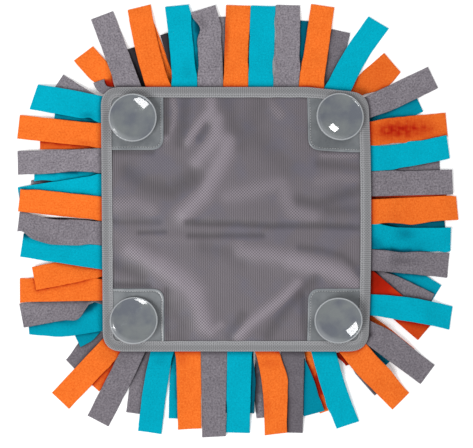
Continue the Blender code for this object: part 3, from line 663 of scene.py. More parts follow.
# painted shade on the cloth beside the tape and the patches
EDGE_SHADE = 0.4
EDGE_BLUR, FREE_BLUR, CLOTH_BLUR = 3, 30, 10
CLOTH_CELLS = 150
CLOTH_THICK = 0.8 * MM
CLOTH_SEED = 11
CLOTH_WAVES = ((0.22 * MM, (22 * MM, 70 * MM)), (0.1 * MM, (9 * MM, 20 * MM)))  # height, lengths
CLOTH_TONE, CLOTH_TONE_WAVES = 0.05, (25 * MM, 80 * MM)
WAVE_COUNT = 9
WITHIN = 0.996  # rays down stay this share inside the edge
ABOVE_RIM = 0.5 * MM  # level where the panel's outline is taken


def distance_to(points, x, y):
    """Distance of many points from a line through a few."""
    nearest = np.full(x.shape, np.inf)
    for (ax, ay), (bx, by) in zip(points, points[1:]):
        dx, dy = bx - ax, by - ay
        t = np.clip(((x - ax) * dx + (y - ay) * dy) / (dx * dx + dy * dy), 0, 1)
        nearest = np.minimum(nearest, np.hypot(x - ax - t * dx, y - ay - t * dy))
    return nearest


def backing(material):
    """The mesh cloth: the solid's creases made soft, with finer ones and its own unevenness."""
    cells = CLOTH_CELLS + 1
    line = np.linspace(-1, 1, cells)
    u, v = np.meshgrid(line, line, indexing="ij")
    angle = np.arctan2(v, u)
    top = tree_of(["backing_panel"])
    low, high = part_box("backing_panel")
    reach = np.interp(angle, TURNS, outline(top, (0, 0), low.z + ABOVE_RIM, TURNS))
    reach *= np.maximum(np.abs(u), np.abs(v))
    x, y = reach * np.cos(angle), reach * np.sin(angle)
    cover = tree_of(["edge_binding"] + [f"corner_patch_{k}" for k in range(1, 5)])
    z, free = np.empty(x.shape), np.empty(x.shape)
    for index in np.ndindex(x.shape):
        spot = Vector((x[index] * WITHIN, y[index] * WITHIN, OVERHEAD))
        z[index] = spot.z = top.ray_cast(spot, DOWN)[0].z
        free[index] = cover.ray_cast(spot, UP)[0] is None
    # painted shade on the cloth along the edges of the tape and the patches
    beside = 1 - EDGE_SHADE * blurred(1 - free, EDGE_BLUR)
    free = smooth(blurred(free, FREE_BLUR) * 2 - 1)

    rng = np.random.default_rng(CLOTH_SEED)
    extra = sum(height * waves(rng, x, y, lengths, WAVE_COUNT) for height, lengths in CLOTH_WAVES)
    crease = np.zeros(x.shape)
    for half_width, strength, *points in CREASES:
        crease += strength * bell(distance_to(points, x / MM, y / MM), half_width)
    extra += np.where(crease > 0, RIDGE, HOLLOW) * np.clip(crease, -CREASE_MOST, CREASE_MOST)
    z = blurred(z, CLOTH_BLUR) + extra * free
    # painted sheen on the ridges and painted shade in the hollows, with random unevenness
    tone = 1 + np.where(crease > 0, PAINTED_SHEEN, SHADED) * np.tanh(crease)
    tone += CLOTH_TONE * waves(rng, x, y, CLOTH_TONE_WAVES, WAVE_COUNT)
    tone *= beside

    points = np.stack([x, y, z], axis=-1).reshape(-1, 3)
    count = len(points)
    place = np.arange(count).reshape(cells, cells)
    upper = np.stack([place[:-1, :-1], place[1:, :-1], place[1:, 1:], place[:-1, 1:]], axis=-1)
    upper = upper.reshape(-1, 4)
    border = [place[:-1, 0], place[-1, :-1], place[:0:-1, -1], place[0, :0:-1]]
    border = np.concatenate(border).tolist()
    walls = [(b, a, count + a, count + b) for a, b in zip(border, border[1:] + border[:1])]
    faces = upper.tolist() + (count + upper[:, ::-1]).tolist() + walls
    both = np.vstack([points, points - (0, 0, CLOTH_THICK)])
    batch = Batch()
    batch.add(both, faces, both[:, :2], np.tile(tone.ravel(), 2))
    piece = batch.piece("backing_cloth", material, "backing_nylon")
    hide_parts("backing_panel")


# -------- the binding tape

TAPE_STATIONS = 620
TAPE_THICK = 0.7 * MM
TAPE_WIDTH = 10.8 * MM  # where no inner edge is found
TAPE_LEVEL = 2 * MM  # above its underside, where its outer edge is taken
ON_TAPE, PAST_TAPE = 5 * MM, 30 * MM  # from the outer edge: places on the tape, and past it
BELOW_TOP = 0.4 * MM  # where its inner edge is taken
LINE_BLUR, TURN_BLUR = 3, 4  # stations on each side that its lines are evened out over
TAPE_SEED = 5
EDGE_WAVES, EDGE_ADDED = (12, 60), 6  # fewest and most waves all the way round, how many add up
EDGE_PHASE = 6  # radians
SEAM_INSET = 2.4 * MM
SEAM_DIP = 0.28 * MM
SEAM_UNEVEN, SEAM_STRIDE = 0.4, 7  # the dip varies by this share, in waves so much shorter
STITCH_LIFT = 0.05 * MM
EDGE_WAVE = 0.25 * MM
FOLD_TURNS = np.radians(np.linspace(-90, -270, 9))
CROWN = 0.18 * MM


def binding_path():
    """Stations round the binding: outer edge, inner edge, underside and top."""
    tree = tree_of(["edge_binding"])
    low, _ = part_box("edge_binding")
    turns = TURNS[:-1]
    outer = directions(turns) * outline(tree, (0, 0), low.z + TAPE_LEVEL, turns)[:, None]
    looped = np.vstack([outer, outer[:1]])
    run = run_along(looped)
    at = np.linspace(0, run[-1], TAPE_STATIONS, endpoint=False)
    outer = places_at(at, run, looped)
    ahead = np.roll(outer, -1, axis=0) - np.roll(outer, 1, axis=0)
    inward = unit(np.stack([-ahead[:, 1], ahead[:, 0]], axis=1))
    width, top = np.empty(len(outer)), np.empty(len(outer))
    for k, (point, way) in enumerate(zip(outer, inward)):
        top[k] = tree.ray_cast(Vector((*(point + way * ON_TAPE), OVERHEAD)), DOWN)[0].z
        inside = Vector((*(point + way * PAST_TAPE), top[k] - BELOW_TOP))
        hit = tree.ray_cast(inside, Vector((*-way, 0)), PAST_TAPE)[0]
        width[k] = TAPE_WIDTH if hit is None else (hit.xy - Vector(point)).length
    outer, width = ring_averaged(outer, LINE_BLUR), ring_averaged(width, LINE_BLUR)
    top, inward = ring_averaged(top, TURN_BLUR), unit(ring_averaged(inward, TURN_BLUR))
    return outer, inward, width, low.z, top, at, run[-1]


def tape_profile(width, low, top, dip):
    """One section of the folded tape: (distance in from the outer edge, height), round it."""
    fold = (top - low) / 2
    seam = width - SEAM_INSET
    edge = width - 0.2 * MM
    within = top - TAPE_THICK

    def arc(radius, ways):
        return [(fold + radius * math.cos(a), low + fold + radius * math.sin(a)) for a in ways]

    def crowned(x):
        return top + CROWN * math.sin(math.pi * min(1, (x - fold) / (seam - fold)))

    outside = [(width - 0.6 * MM, low), (seam, low), (fold + 2 * MM, low)]
    outside += arc(fold, FOLD_TURNS)
    for share in (0.2, 0.45, 0.7, 0.87):
        x = fold + (seam - fold) * share
        outside.append((x, crowned(x)))
    outside += [(seam, crowned(seam) - dip), (seam + 0.45 * MM, crowned(seam + 0.45 * MM))]
    outside += [(width - 0.8 * MM, top), (edge, top - 0.12 * MM), (width, top - TAPE_THICK / 2)]
    inside = [(edge, within + 0.1 * MM), (seam, within - dip), (fold + 1 * MM, within)]
    inside += arc(fold - TAPE_THICK, FOLD_TURNS[::-1][1:-1:2])
    inside += [(fold + 1 * MM, low + TAPE_THICK), (edge, low + TAPE_THICK)]
    return outside + inside + [(width, low + TAPE_THICK / 2)]


def binding(material):
    """The folded tape all the way round. Returns the line of its seam, for the stitches."""
    outer, inward, width, low, top, at, around = binding_path()
    rng = np.random.default_rng(TAPE_SEED)
    turn = at * 2 * math.pi / around
    wave = 0.0
    for _ in range(EDGE_ADDED):
        wave = wave + np.sin(turn * rng.integers(*EDGE_WAVES) + rng.uniform(0, EDGE_PHASE))
    wave /= EDGE_ADDED
    points, cloth, seam = [], [], []
    for k in range(len(outer)):
        w = width[k] + EDGE_WAVE * wave[k]
        dip = SEAM_DIP * (1 + SEAM_UNEVEN * wave[(SEAM_STRIDE * k) % len(wave)])
        profile = np.array(tape_profile(w, low, top[k], dip))
        points.append(np.hstack([outer[k] + inward[k] * profile[:, :1], profile[:, 1:]]))
        run = run_along(profile)
        inner = np.argmax(profile[:, 0] > w - 0.1 * MM)
        cloth.append(np.stack([np.full(len(run), at[k]), run - run[inner]], axis=1))
        seam.append((*(outer[k] + inward[k] * (w - SEAM_INSET)), top[k] - dip + STITCH_LIFT))
    batch = Batch()
    faces = [face[::-1] for face in skin(len(points), len(points[0]), closed=True)]
    batch.add(np.vstack(points), faces, np.vstack(cloth))
    piece = batch.piece("binding_tape", material, "binding_tape")
    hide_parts("edge_binding")
    return seam


# -------- patches and cups

VINYL = 0.9 * MM
HOLE_R = 5.2 * MM
PATCH_SEAM = 3.0 * MM
PATCH_STRETCH = (1, 1.2)  # the least and the most that the steps at its edge are widened
PATCH_TURNS = np.linspace(-math.pi, math.pi, 200, endpoint=False)
PATCH_STEPS = np.array([0, 0.12, 0.4, 0.9, 1.6, 2.3, 2.9, 3.4, 4, 5]) * MM  # in from its edge
PATCH_INNER = np.linspace(0, 1, 26)[1:]
CORNER_EASE = np.array([1, 3, 4, 3, 1]) / 12
# Height, place in from the edge and half width.
GROOVE, BEAD = (-0.22 * MM, PATCH_SEAM, 0.45 * MM), (0.12 * MM, 1.3 * MM, 0.8 * MM)
ROUND_OFF = (0.45 * MM, 0.2 * MM)  # height lost at the edge, and how fast it comes back
UNDER_ROUND = 0.3  # share of that by which the underside rises there
RAISED = (1.5 * MM, 17.5 * MM, 11 * MM)  # height round the neck, radius of its foot and of its top
BORDER, DARK_LINE = (0.35, 2.9 * MM, 2.1 * MM), (-0.3, 3.2 * MM, 0.6 * MM)  # change of tone, place

# Radius and height, in mm, of a cup's flange and neck, and of its skirt from the shoulder of the
# neck, round the lip, to the middle of the dish.
CUP_NECK = ((6.4, 0), (7, 0.3), (7, 0.9), (6.5, 1.2), (5, 1.3), (4.7, 1.8), (4.7, 3.2))
CUP_SKIRT = (
    (4.7, -7), (5.3, -6.2), (7, -5.7), (10, -4.9), (14, -3.7), (18, -2.6), (21.1, -1.8),
    (23.4, -1.35), (24.15, -1.05), (24.35, -0.6), (24.2, -0.2), (23.8, -0.02), (23.3, -0.03),
    (22.8, -0.22), (22.2, -0.62), (21.2, -1.02), (19.7, -1.55), (17.2, -2.22), (14.3, -2.85),
    (10.8, -3.38), (8, -3.7), (5, -3.88), (2.5, -3.97), (1, -4),
)
CUP_TURNS = np.linspace(0, 2 * math.pi, 144, endpoint=False)
SKIRT_R = 20.5 * MM  # points further out than this are the cup's rim
# The finish paints the lip paler, a painted light rim line.
LIP, LIP_TONE = (23.1, 24.4), 2.0  # radii of the lip, and the tone that the finish knows it by
FLANGE_FOOT = 0.1 * MM  # points of a cup within this of its lowest one are under its flange
# Painted light on the inner wall of the dish, on the side that faces the right softbox.
LIT_WALL, LIT_FOCUS = math.radians(232), 1.5  # the way its lighter side faces, and how narrowly
WALL, WALL_LIGHT = (17, 22), 0.5  # radii where it starts and is full, and how much lighter it is


def foot_of(number):
    """The middle of the cup's flange, on the panel."""
    points = corners_of(f"suction_cup_{number}")
    low = points[points[:, 2] < points[:, 2].min() + FLANGE_FOOT]
    return low.mean(axis=0)


def corner_patch(number, material):
    """A vinyl patch round its cup's neck, pressed down inside its edge. Returns its seam line."""
    node = f"corner_patch_{number}"
    foot = foot_of(number)
    low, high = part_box(node)
    reach = outline(tree_of([node]), foot, low.z + VINYL / 2, PATCH_TURNS)
    reach = np.convolve(np.concatenate([reach[-2:], reach, reach[:2]]), CORNER_EASE, "valid")
    sections, light = [], []
    for way, far in zip(directions(PATCH_TURNS), reach):
        from_edge = PATCH_STEPS * np.clip(far / (far - PATCH_SEAM), *PATCH_STRETCH)
        rest = far - from_edge[-1]
        radii = np.concatenate([far - from_edge, rest - PATCH_INNER * (rest - HOLE_R)])
        from_edge = far - radii
        rise = RAISED[0] * rising(radii, *RAISED[1:])
        round_off = ROUND_OFF[0] * np.exp(-from_edge / ROUND_OFF[1])
        top = low.z + VINYL + rise - round_off
        for height, place, wide in (GROOVE, BEAD):
            top += height * bell(from_edge - place, wide)
        under = low.z + rise + round_off * UNDER_ROUND
        xy = foot[:2] + way * radii[:, None]
        faces = [np.column_stack([xy, top]), np.column_stack([xy, under])[::-1]]
        sections.append(np.vstack(faces))
        border = 1 + BORDER[0] * rising(from_edge, *BORDER[1:])
        border += DARK_LINE[0] * bell(from_edge - DARK_LINE[1], DARK_LINE[2])
        light.append(np.concatenate([border, border[::-1]]))
    batch = Batch()
    points = np.vstack(sections)
    faces = skin(len(sections), len(sections[0]), closed=True)
    batch.add(points, faces, points[:, :2], np.concatenate(light))
    piece = batch.piece(f"vinyl_patch_{number}", material, "patch_vinyl")
    outwards(piece)
    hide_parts(node)
    wide, long = high.x - low.x, high.y - low.y
    seam = foot[:2] + directions(PATCH_TURNS) * (reach - PATCH_SEAM)[:, None]
    return [(*place, low.z + VINYL) for place in seam]


def suction_cup(number, material):
    """A clear cup, turned about its leaning axis, on a short neck that bends to its flange."""
    node = f"suction_cup_{number}"
    points = corners_of(node)
    foot = foot_of(number)
    middle = (points.min(axis=0) + points.max(axis=0)) / 2
    rim = points[np.linalg.norm((points - middle)[:, :2], axis=1) > SKIRT_R]
    axis = np.linalg.svd(rim - rim.mean(axis=0))[2][2]
    axis *= np.sign(axis[2])
    centre = rim.mean(axis=0)
    centre = centre + axis * ((rim - centre) @ axis).max()
    first = unit(np.cross((0.0, 1.0, 0.0), axis))
    circle = directions(CUP_TURNS)
    level = np.column_stack([circle, 0 * CUP_TURNS])
    leaning = circle @ [first, np.cross(axis, first)]
    # painted light on the dish's wall facing the right softbox, carried to the finish like the
    # lip's tone
    facing = np.maximum(np.cos(CUP_TURNS - LIT_WALL), 0) ** LIT_FOCUS
    rings = [foot + level * radius * MM + (0, 0, height * MM) for radius, height in CUP_NECK]
    light = [np.ones(len(circle))] * len(rings)
    for radius, height in CUP_SKIRT:
        rings.append(centre + axis * height * MM + leaning * radius * MM)
        wall = 1 + WALL_LIGHT * float(rising(radius, *WALL)) * facing
        # the lip's tone: the finish paints it paler, a painted light rim line
        light.append(np.full(len(circle), LIP_TONE) if LIP[0] < radius < LIP[1] else wall)
    batch = Batch()
    cloth = np.tile(circle, (len(rings), 1))
    batch.add(np.vstack(rings), skin(len(rings), len(circle)), cloth, np.concatenate(light))
    piece = batch.piece(f"clear_cup_{number}", material, "suction_cup")
    outwards(piece)
    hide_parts(node)


# -------- nodes

class Wiring:
    """Short forms for the nodes that the finishes and the stitches use, in one tree."""

    def __init__(self, tree):
        self.tree = tree

    def put(self, kind, inputs=(), **settings):
        node = self.tree.nodes.new(kind)
        for key, value in settings.items():
            setattr(node, key, value)
        for key, value in dict(inputs).items():
            self.feed(node.inputs[key], value)
        return node

    def first(self, kind, inputs=(), **settings):
        """The first output of a new node."""
        return self.put(kind, inputs, **settings).outputs[0]

    def feed(self, socket, value):
        if isinstance(value, bpy.types.NodeSocket):
            self.tree.links.new(value, socket)
        else:
            socket.default_value = (*value, 1) if socket.type == "RGBA" else value

    def math(self, operation, a, b=0.0, clamp=False):
        inputs = {0: a, 1: b}
        return self.first("ShaderNodeMath", inputs, operation=operation, use_clamp=clamp)

    def plus(self, a, b, clamp=False):
        return self.math("ADD", a, b, clamp)

    def minus(self, a, b):
        return self.math("SUBTRACT", a, b)

    def times(self, a, b):
        return self.math("MULTIPLY", a, b)

    def swing(self, value, gain):
        """What swings round one half, made to swing round nothing, with a gain."""
        return self.times(self.minus(value, 0.5), gain)

    def span(self, value, low, high, to_low=0.0, to_high=1.0):
        inputs = {"Value": value, "From Min": low, "From Max": high}
        inputs |= {"To Min": to_low, "To Max": to_high}
        return self.first("ShaderNodeMapRange", inputs)

    def noise(self, vector, scale, detail=2.0, roughness=0.5):
        inputs = {"Vector": vector, "Scale": scale, "Detail": detail, "Roughness": roughness}
        return self.first("ShaderNodeTexNoise", inputs)

    def blend(self, share, a, b, how="MIX"):
        inputs = {0: share, 6: a, 7: b}
        return self.put("ShaderNodeMix", inputs, data_type="RGBA", blend_type=how).outputs[2]


def group(name, inputs, outputs, given_back="Float", kind="ShaderNodeTree"):
    """An empty group with inputs (name, kind, value): its wiring, what is given, what it gives."""
    tree = bpy.data.node_groups.new(name, kind)
    for title, sort, value in inputs:
        socket = tree.interface.new_socket(title, in_out="INPUT", socket_type="NodeSocket" + sort)
        if value is not None:
            socket.default_value = value
    for title in outputs:
        tree.interface.new_socket(title, in_out="OUTPUT", socket_type="NodeSocket" + given_back)
    w = Wiring(tree)
    return w, w.put("NodeGroupInput").outputs, w.put("NodeGroupOutput").inputs


# -------- stitches

def stitch_tree():
    """Places a short thread along a line, over and over, standing for the stitches that show."""
    inputs = (
        ("Line", "Geometry", None),
        ("Spacing", "Float", 3.2 * MM),
        ("Stitch Length", "Float", 2.5 * MM),
        ("Thread", "Float", 0.3 * MM),
        ("Seed", "Int", 3),
        ("Finish", "Material", None),
    )
    w, given, result = group("stitch_run", inputs, ("Stitches",), "Geometry", "GeometryNodeTree")
    curve = w.first("GeometryNodeMeshToCurve", {"Mesh": given["Line"]})
    inputs = {"Curve": curve, "Length": given["Spacing"]}
    points = w.first("GeometryNodeResampleCurve", inputs, mode="LENGTH")
    tangent = w.first("GeometryNodeInputTangent")
    turn = w.first("FunctionNodeAlignRotationToVector", {"Vector": tangent}, axis="X")
    ball = w.first("GeometryNodeMeshUVSphere", {"Segments": 6, "Rings": 5, "Radius": 0.5})
    inputs = {"X": given["Stitch Length"], "Y": given["Thread"], "Z": given["Thread"]}
    size = w.first("ShaderNodeCombineXYZ", inputs)
    thread = w.first("GeometryNodeTransform", {"Geometry": ball, "Scale": size})
    inputs = {"Min": 0.85, "Max": 1.12, "Seed": given["Seed"]}
    vary = w.put("FunctionNodeRandomValue", inputs, data_type="FLOAT").outputs["Value"]
    inputs = {"Points": points, "Instance": thread, "Rotation": turn, "Scale": vary}
    run = w.first("GeometryNodeInstanceOnPoints", inputs)
    real = w.first("GeometryNodeRealizeInstances", {"Geometry": run})
    inputs = {"Geometry": real, "Material": given["Finish"]}
    w.feed(result["Stitches"], w.first("GeometryNodeSetMaterial", inputs))
    return w.tree


def stitches(name, line, material, **sizes):
    """A run of stitches along a closed line, as one plain mesh."""
    mesh = bpy.data.meshes.new(name + "_line")
    edges = [(k, (k + 1) % len(line)) for k in range(len(line))]
    mesh.from_pydata(line, edges, [])
    guide = linked(name + "_line", mesh)
    run = guide.modifiers.new("stitches", "NODES")
    run.node_group = STITCH_TREE
    values = {"Finish": material, **sizes}
    for socket in STITCH_TREE.interface.items_tree:
        if socket.in_out == "INPUT" and socket.name in values:
            run[socket.identifier] = values[socket.name]
    evaluated = guide.evaluated_get(bpy.context.evaluated_depsgraph_get())
    made = bpy.data.meshes.new_from_object(evaluated)
    bpy.data.objects.remove(guide)
    made.name = name
    made.shade_smooth()
    dressed(name, made)


# -------- finishes

def nap_group():
    """Brushed fleece: fine tufts, soft mottling, pills and a faint line along the knit."""
    inputs = (("Cloth", "Vector", None), ("Streaks", "Float", 0.3), ("Pills", "Float", 0.5))
    w, given, result = group("fleece_nap", inputs, ("Mottle", "Height"))
    cloth = given["Cloth"]
    broad = w.noise(cloth, 130, 3, 0.6)
    tufts = w.noise(cloth, 560, 4, 0.65)
    drawn = w.first("ShaderNodeMapping", {"Vector": cloth, "Scale": (0.3, 1.0, 1.0)})
    streak = w.noise(drawn, 600, 2, 0.5)
    inputs = {"Vector": cloth, "Scale": 480.0, "Randomness": 1.0}
    pill = w.span(w.first("ShaderNodeTexVoronoi", inputs), 0.0, 0.6, 1.0, 0.0)
    total = w.plus(w.swing(tufts, 2.6), w.swing(broad, 0.5))
    total = w.plus(total, w.swing(streak, given["Streaks"]))
    w.feed(result["Mottle"], w.plus(total, 0.52, clamp=True))
    bumps = w.plus(w.times(pill, given["Pills"]), w.times(broad, 0.5))
    w.feed(result["Height"], w.plus(tufts, bumps))
    return w.tree


def weave_group():
    """Mesh cloth: upright ribs crossed by slanting threads, in cloth coordinates."""
    inputs = (("Cloth", "Vector", None), ("Pitch", "Float", 2.2 * MM), ("Slant", "Float", 0.5))
    w, given, result = group("mesh_weave", inputs, ("Threads",))
    cloth, slant = given["Cloth"], given["Slant"]
    apart = w.put("ShaderNodeSeparateXYZ", {"Vector": cloth}).outputs
    frequency = w.math("DIVIDE", 2 * math.pi, given["Pitch"])
    shift = w.swing(w.noise(cloth, 120, 2, 0.5), 1.6)
    x, y = (w.plus(w.times(apart[k], frequency), shift) for k in range(2))
    rib = w.span(w.math("COSINE", x), -1.0, 1.0, 0.16, 0.84)
    rise, fall = (w.math("COSINE", w.times(way, 0.72)) for way in (w.plus(x, y), w.minus(x, y)))
    cross = w.span(w.plus(rise, fall), -1.3, 1.3)
    threads = w.plus(w.times(rib, w.minus(1.0, slant)), w.times(cross, slant))
    fuzz = w.noise(cloth, 1500, 2, 0.6)
    w.feed(result["Threads"], w.plus(w.times(threads, 0.85), w.times(fuzz, 0.15)))
    return w.tree


def wear_group():
    """Slow changes of tone over a surface, and fine dust."""
    inputs = (("Place", "Vector", None), ("Size", "Float", 40.0))
    w, given, result = group("surface_wear", inputs, ("Cloud", "Dust"))
    w.feed(result["Cloud"], w.noise(given["Place"], given["Size"], 3.0))
    w.feed(result["Dust"], w.span(w.noise(given["Place"], 2200, 2, 0.7), 0.62, 0.78))
    return w.tree


GROUPS = {"nap": nap_group(), "weave": weave_group(), "wear": wear_group()}
STITCH_TREE = stitch_tree()


class Finish(Wiring):
    """A material with constants and wires on the shader's own sockets."""

    def __init__(self, name, **constants):
        self.material = bpy.data.materials.new(name)
        self.material.use_nodes = True
        super().__init__(self.material.node_tree)
        self.shader = self.tree.nodes["Principled BSDF"]
        self.set(**constants)

    def set(self, **values):
        for key, value in values.items():
            self.feed(self.shader.inputs[key.replace("_", " ")], value)

    def grouped(self, name, **inputs):
        return self.put("ShaderNodeGroup", inputs, node_tree=GROUPS[name]).outputs

    def cloth(self):
        return self.first("ShaderNodeUVMap", uv_map="cloth")

    def place(self):
        return self.put("ShaderNodeTexCoord").outputs["Object"]

    def tone(self):
        return self.put("ShaderNodeAttribute", attribute_name="tone").outputs["Fac"]

    def coloured(self, colour, light):
        """Sets the colour, made lighter or darker all over."""
        grey = self.first("ShaderNodeCombineXYZ", {"X": light, "Y": light, "Z": light})
        self.set(Base_Color=self.blend(1.0, colour, grey, "MULTIPLY"))

    def bump(self, height, distance, strength):
        inputs = {"Height": height, "Distance": distance, "Strength": strength}
        self.set(Normal=self.first("ShaderNodeBump", inputs))


def fleece_finish(name, deep, shade, light, streaks):
    """Brushed fleece: light and shaded tufts, and a deep colour for its painted shade before it
    turns dark.
    """
    f = Finish(name, Roughness=0.95, Specular_IOR_Level=0.05)
    f.set(Sheen_Weight=0.04, Sheen_Roughness=0.5, Sheen_Tint=light)
    nap = f.grouped("nap", Cloth=f.cloth(), Streaks=streaks)
    tone = f.tone()
    colour = f.blend(nap["Mottle"], shade, light)
    # painted shade from the tone: first the deep colour, then dark below 0.5; painted light above
    # 1
    colour = f.blend(f.span(tone, 0.5, 1.0), deep, colour)
    f.coloured(colour, f.times(f.span(tone, 0.1, 0.5, 0.1, 1.0), f.span(tone, 1.0, 1.2, 1.0, 1.2)))
    f.bump(nap["Height"], 0.5 * MM, 0.9)
    return f.material


def cloth_finish():
    """Mesh cloth: ribs where it is calm, slanting threads where it is creased, and painted sheen
    and shade from its tone.
    """
    f = Finish("backing_nylon", Specular_IOR_Level=0.5)
    f.set(Sheen_Weight=0.1, Sheen_Roughness=0.4, Sheen_Tint=(0.62, 0.59, 0.66))
    cloth, tone = f.cloth(), f.tone()
    cloud = f.grouped("wear", Place=cloth, Size=30.0)["Cloud"]
    slant = f.span(tone, 0.92, 1.3, 0.25, 0.9)
    slant = f.plus(slant, f.span(cloud, 0.4, 0.6, -0.3, 0.3), clamp=True)
    threads = f.grouped("weave", Cloth=cloth, Slant=slant)["Threads"]
    colour = f.blend(threads, (0.052, 0.045, 0.053), (0.176, 0.153, 0.176))
    # the tone paints sheen on the creases' ridges and shade in their hollows and along the edges;
    # the cool tint stays off the painted sheen
    cool = f.times(f.span(cloud, 0.48, 0.62, 0.0, 0.5), f.span(tone, 0.95, 1.15, 1.0, 0.0))
    f.coloured(f.blend(cool, colour, (0.105, 0.1, 0.14)), tone)
    f.set(Roughness=f.span(threads, 0.0, 1.0, 0.6, 0.4))
    f.bump(threads, 0.3 * MM, 0.55)
    return f.material


# Distance in from the tape's inner edge, in mm, and how light the tape is painted there: painted
# shade at the inner edge and in the seam's dip, painted highlights beside them and along the fold.
TAPE_LINES = (
    (0, 0.75), (0.8, 1.25), (1.7, 1.1), (2.4, 0.72), (3.3, 1.2), (4.2, 0.98), (7.5, 0.84),
    (9.6, 0.95), (10.9, 1.3),
)
TAPE_ACROSS = 12


def tape_finish():
    """Ribbed tape, with painted highlights and painted shade in lines along it beside the seam and
    along the fold.
    """
    f = Finish("binding_tape", Roughness=0.72, Sheen_Weight=0.15, Specular_IOR_Level=0.3)
    cloth = f.cloth()
    cloud = f.grouped("wear", Place=cloth, Size=60.0)["Cloud"]
    slant = f.span(cloud, 0.4, 0.6, 0.1, 0.8)
    threads = f.grouped("weave", Cloth=cloth, Pitch=2.1 * MM, Slant=slant)["Threads"]
    colour = f.blend(threads, (0.115, 0.115, 0.12), (0.345, 0.345, 0.36))
    colour = f.blend(f.times(cloud, 0.25), colour, (0.2, 0.215, 0.22))
    across = f.put("ShaderNodeSeparateXYZ", {"Vector": cloth}).outputs[1]
    lines = f.put("ShaderNodeFloatCurve", {"Value": f.span(across, 0.0, -TAPE_ACROSS * MM)})
    curve = lines.mapping.curves[0]
    curve.points[0].location = (0.0, TAPE_LINES[0][1] / 2)
    curve.points[1].location = (1.0, TAPE_LINES[-1][1] / 2)
    for place, light in TAPE_LINES[1:]:
        curve.points.new(place / TAPE_ACROSS, light / 2)
    lines.mapping.update()
    # painted highlights and shade in lines along the tape
    f.coloured(colour, f.times(lines.outputs[0], 2.0))
    f.bump(threads, 0.25 * MM, 0.65)
    return f.material


def vinyl_finish():
    """Smooth grey vinyl with a fine grain and a little dust."""
    f = Finish("patch_vinyl", Specular_IOR_Level=0.5, Coat_Weight=0.35, Coat_Roughness=0.15)
    place = f.place()
    wear = f.grouped("wear", Place=place, Size=70.0)
    clouds = f.span(wear["Cloud"], 0.35, 0.65)
    colour = f.blend(clouds, (0.118, 0.129, 0.14), (0.162, 0.174, 0.184))
    f.coloured(f.blend(f.times(wear["Dust"], 0.3), colour, (0.4, 0.42, 0.42)), f.tone())
    f.set(Roughness=f.span(wear["Cloud"], 0.3, 0.7, 0.26, 0.4))
    f.bump(f.noise(place, 420, 3, 0.6), 0.05 * MM, 0.35)
    return f.material


def cup_finish():
    """Smoky, glossy and half clear, with a duller lip, and painted light: a paler lip for its rim
    line and a paler side of the dish.
    """
    f = Finish("suction_cup", IOR=1.45, Transmission_Weight=0.25)
    wear = f.grouped("wear", Place=f.place(), Size=50.0)
    clouds = f.span(wear["Cloud"], 0.38, 0.62)
    colour = f.blend(clouds, (0.145, 0.16, 0.192), (0.212, 0.232, 0.238))
    colour = f.blend(f.times(wear["Dust"], 0.2), colour, (0.7, 0.72, 0.72))
    # from the tone: the lip and the lit side of the wall, painted paler as painted light; the lip
    # is also rougher with less coat
    lip = f.span(f.tone(), 1.1, 1.8)
    f.set(Base_Color=f.blend(lip, colour, (0.42, 0.44, 0.46)), Specular_IOR_Level=0.4)
    f.set(Roughness=f.plus(f.span(wear["Cloud"], 0.3, 0.7, 0.04, 0.07), f.times(lip, 0.3)))
    f.set(Coat_Weight=f.span(lip, 0.0, 0.6, 0.7, 0.1), Coat_Roughness=0.04)
    return f.material


def thread_finish():
    f = Finish("thread", Roughness=0.7, Sheen_Weight=0.2)
    twist = f.noise(f.place(), 2500, 2, 0.6)
    f.set(Base_Color=f.blend(twist, (0.36, 0.37, 0.38), (0.62, 0.63, 0.64)))
    return f.material


# -------- floor, light and camera

FLOOR = (16.0, -0.1 * MM)  # side, level
# name, degrees from straight up, direction in degrees from the right, distance, size, power
LAMPS = (("right softbox", 49, 50.5, 1.7, 0.28, 6), ("left softbox", 31.5, 219, 1.72, 0.66, 19))
ROOM_LIGHT = 0.55
LENS, SENSOR = 150.0, 36.0  # mm
VIEW_WIDTH = 484.1 * MM
AIM = (-0.5 * MM, -3.6 * MM)  # from the middle of the mat's box
FAR = 50.0


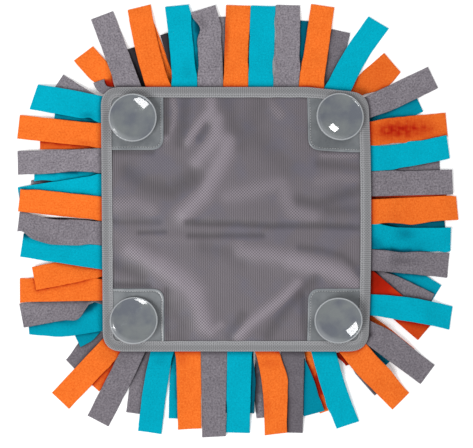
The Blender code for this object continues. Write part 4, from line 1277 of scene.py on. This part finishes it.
def studio():
    """A pale floor, a pale room and two soft lights."""
    side, level = FLOOR
    mesh = bpy.data.meshes.new("floor")
    ways = ((-1, -1), (1, -1), (1, 1), (-1, 1))
    mesh.from_pydata([(x * side / 2, y * side / 2, level) for x, y in ways], [], [(0, 1, 2, 3)])
    pale = Finish("floor", Roughness=0.9, Specular_IOR_Level=0.1, Base_Color=(0.92, 0.92, 0.925))
    pale.set(Emission_Color=(1, 1, 1), Emission_Strength=0.2)
    mesh.materials.append(pale.material)
    floor = linked("floor", mesh)
    world = bpy.data.worlds.new("studio")
    bpy.context.scene.world = world
    world.use_nodes = True
    room = world.node_tree.nodes["Background"].inputs
    room["Color"].default_value = (1.0, 1.0, 1.0, 1)
    room["Strength"].default_value = ROOM_LIGHT
    for name, lean, turn, away, size, power in LAMPS:
        light = bpy.data.lights.new(name, "AREA")
        light.shape = "SQUARE"
        light.size = size
        light.energy = power
        lamp = linked(name, light)
        lean, turn = math.radians(lean), math.radians(turn)
        aside = math.sin(lean)
        way = Vector((aside * math.cos(turn), aside * math.sin(turn), math.cos(lean)))
        lamp.location = way * away
        lamp.rotation_mode = "QUATERNION"
        lamp.rotation_quaternion = way.to_track_quat("Z", "Y")


def camera():
    """Straight above the mat, with a long lens."""
    data = bpy.data.cameras.new("camera")
    data.lens = LENS
    data.sensor_width = SENSOR
    data.clip_end = FAR
    eye = linked("camera", data)
    low, high = cad_box
    middle = (low + high) / 2
    eye.location = (middle.x + AIM[0], middle.y + AIM[1], VIEW_WIDTH * LENS / SENSOR)
    bpy.context.scene.camera = eye


# -------- putting it together

camera()
studio()
bpy.context.scene.view_settings.view_transform = "Standard"

# deep colour for painted shade, shaded and light colours of the tufts, and how much of the knit's
# lines shows
FLEECES = {
    "grey": ((0.075, 0.066, 0.078), (0.105, 0.094, 0.11), (0.295, 0.27, 0.3), 0.3),
    "orange": ((0.42, 0.014, 0.003), (0.66, 0.105, 0.01), (0.86, 0.19, 0.028), 0.15),
    "teal": ((0.0, 0.12, 0.19), (0.0, 0.29, 0.4), (0.0, 0.385, 0.52), 0.15),
}
PATCH_STITCHES = {"Spacing": 2.7 * MM, "Stitch Length": 2.2 * MM, "Thread": 0.5 * MM}

fleece = {colour: fleece_finish(f"fleece_{colour}", *looks) for colour, looks in FLEECES.items()}
thread = thread_finish()
vinyl = vinyl_finish()
clear = cup_finish()

backing(cloth_finish())
stitches("binding_stitches", binding(tape_finish()), thread)
for corner in range(1, 5):
    patch_seam = corner_patch(corner, vinyl)
    stitches(f"patch_stitches_{corner}", patch_seam, thread, **PATCH_STITCHES)
    suction_cup(corner, clear)
upper_strips(fleece)
lower_strips(fleece)
pile_strips(fleece)
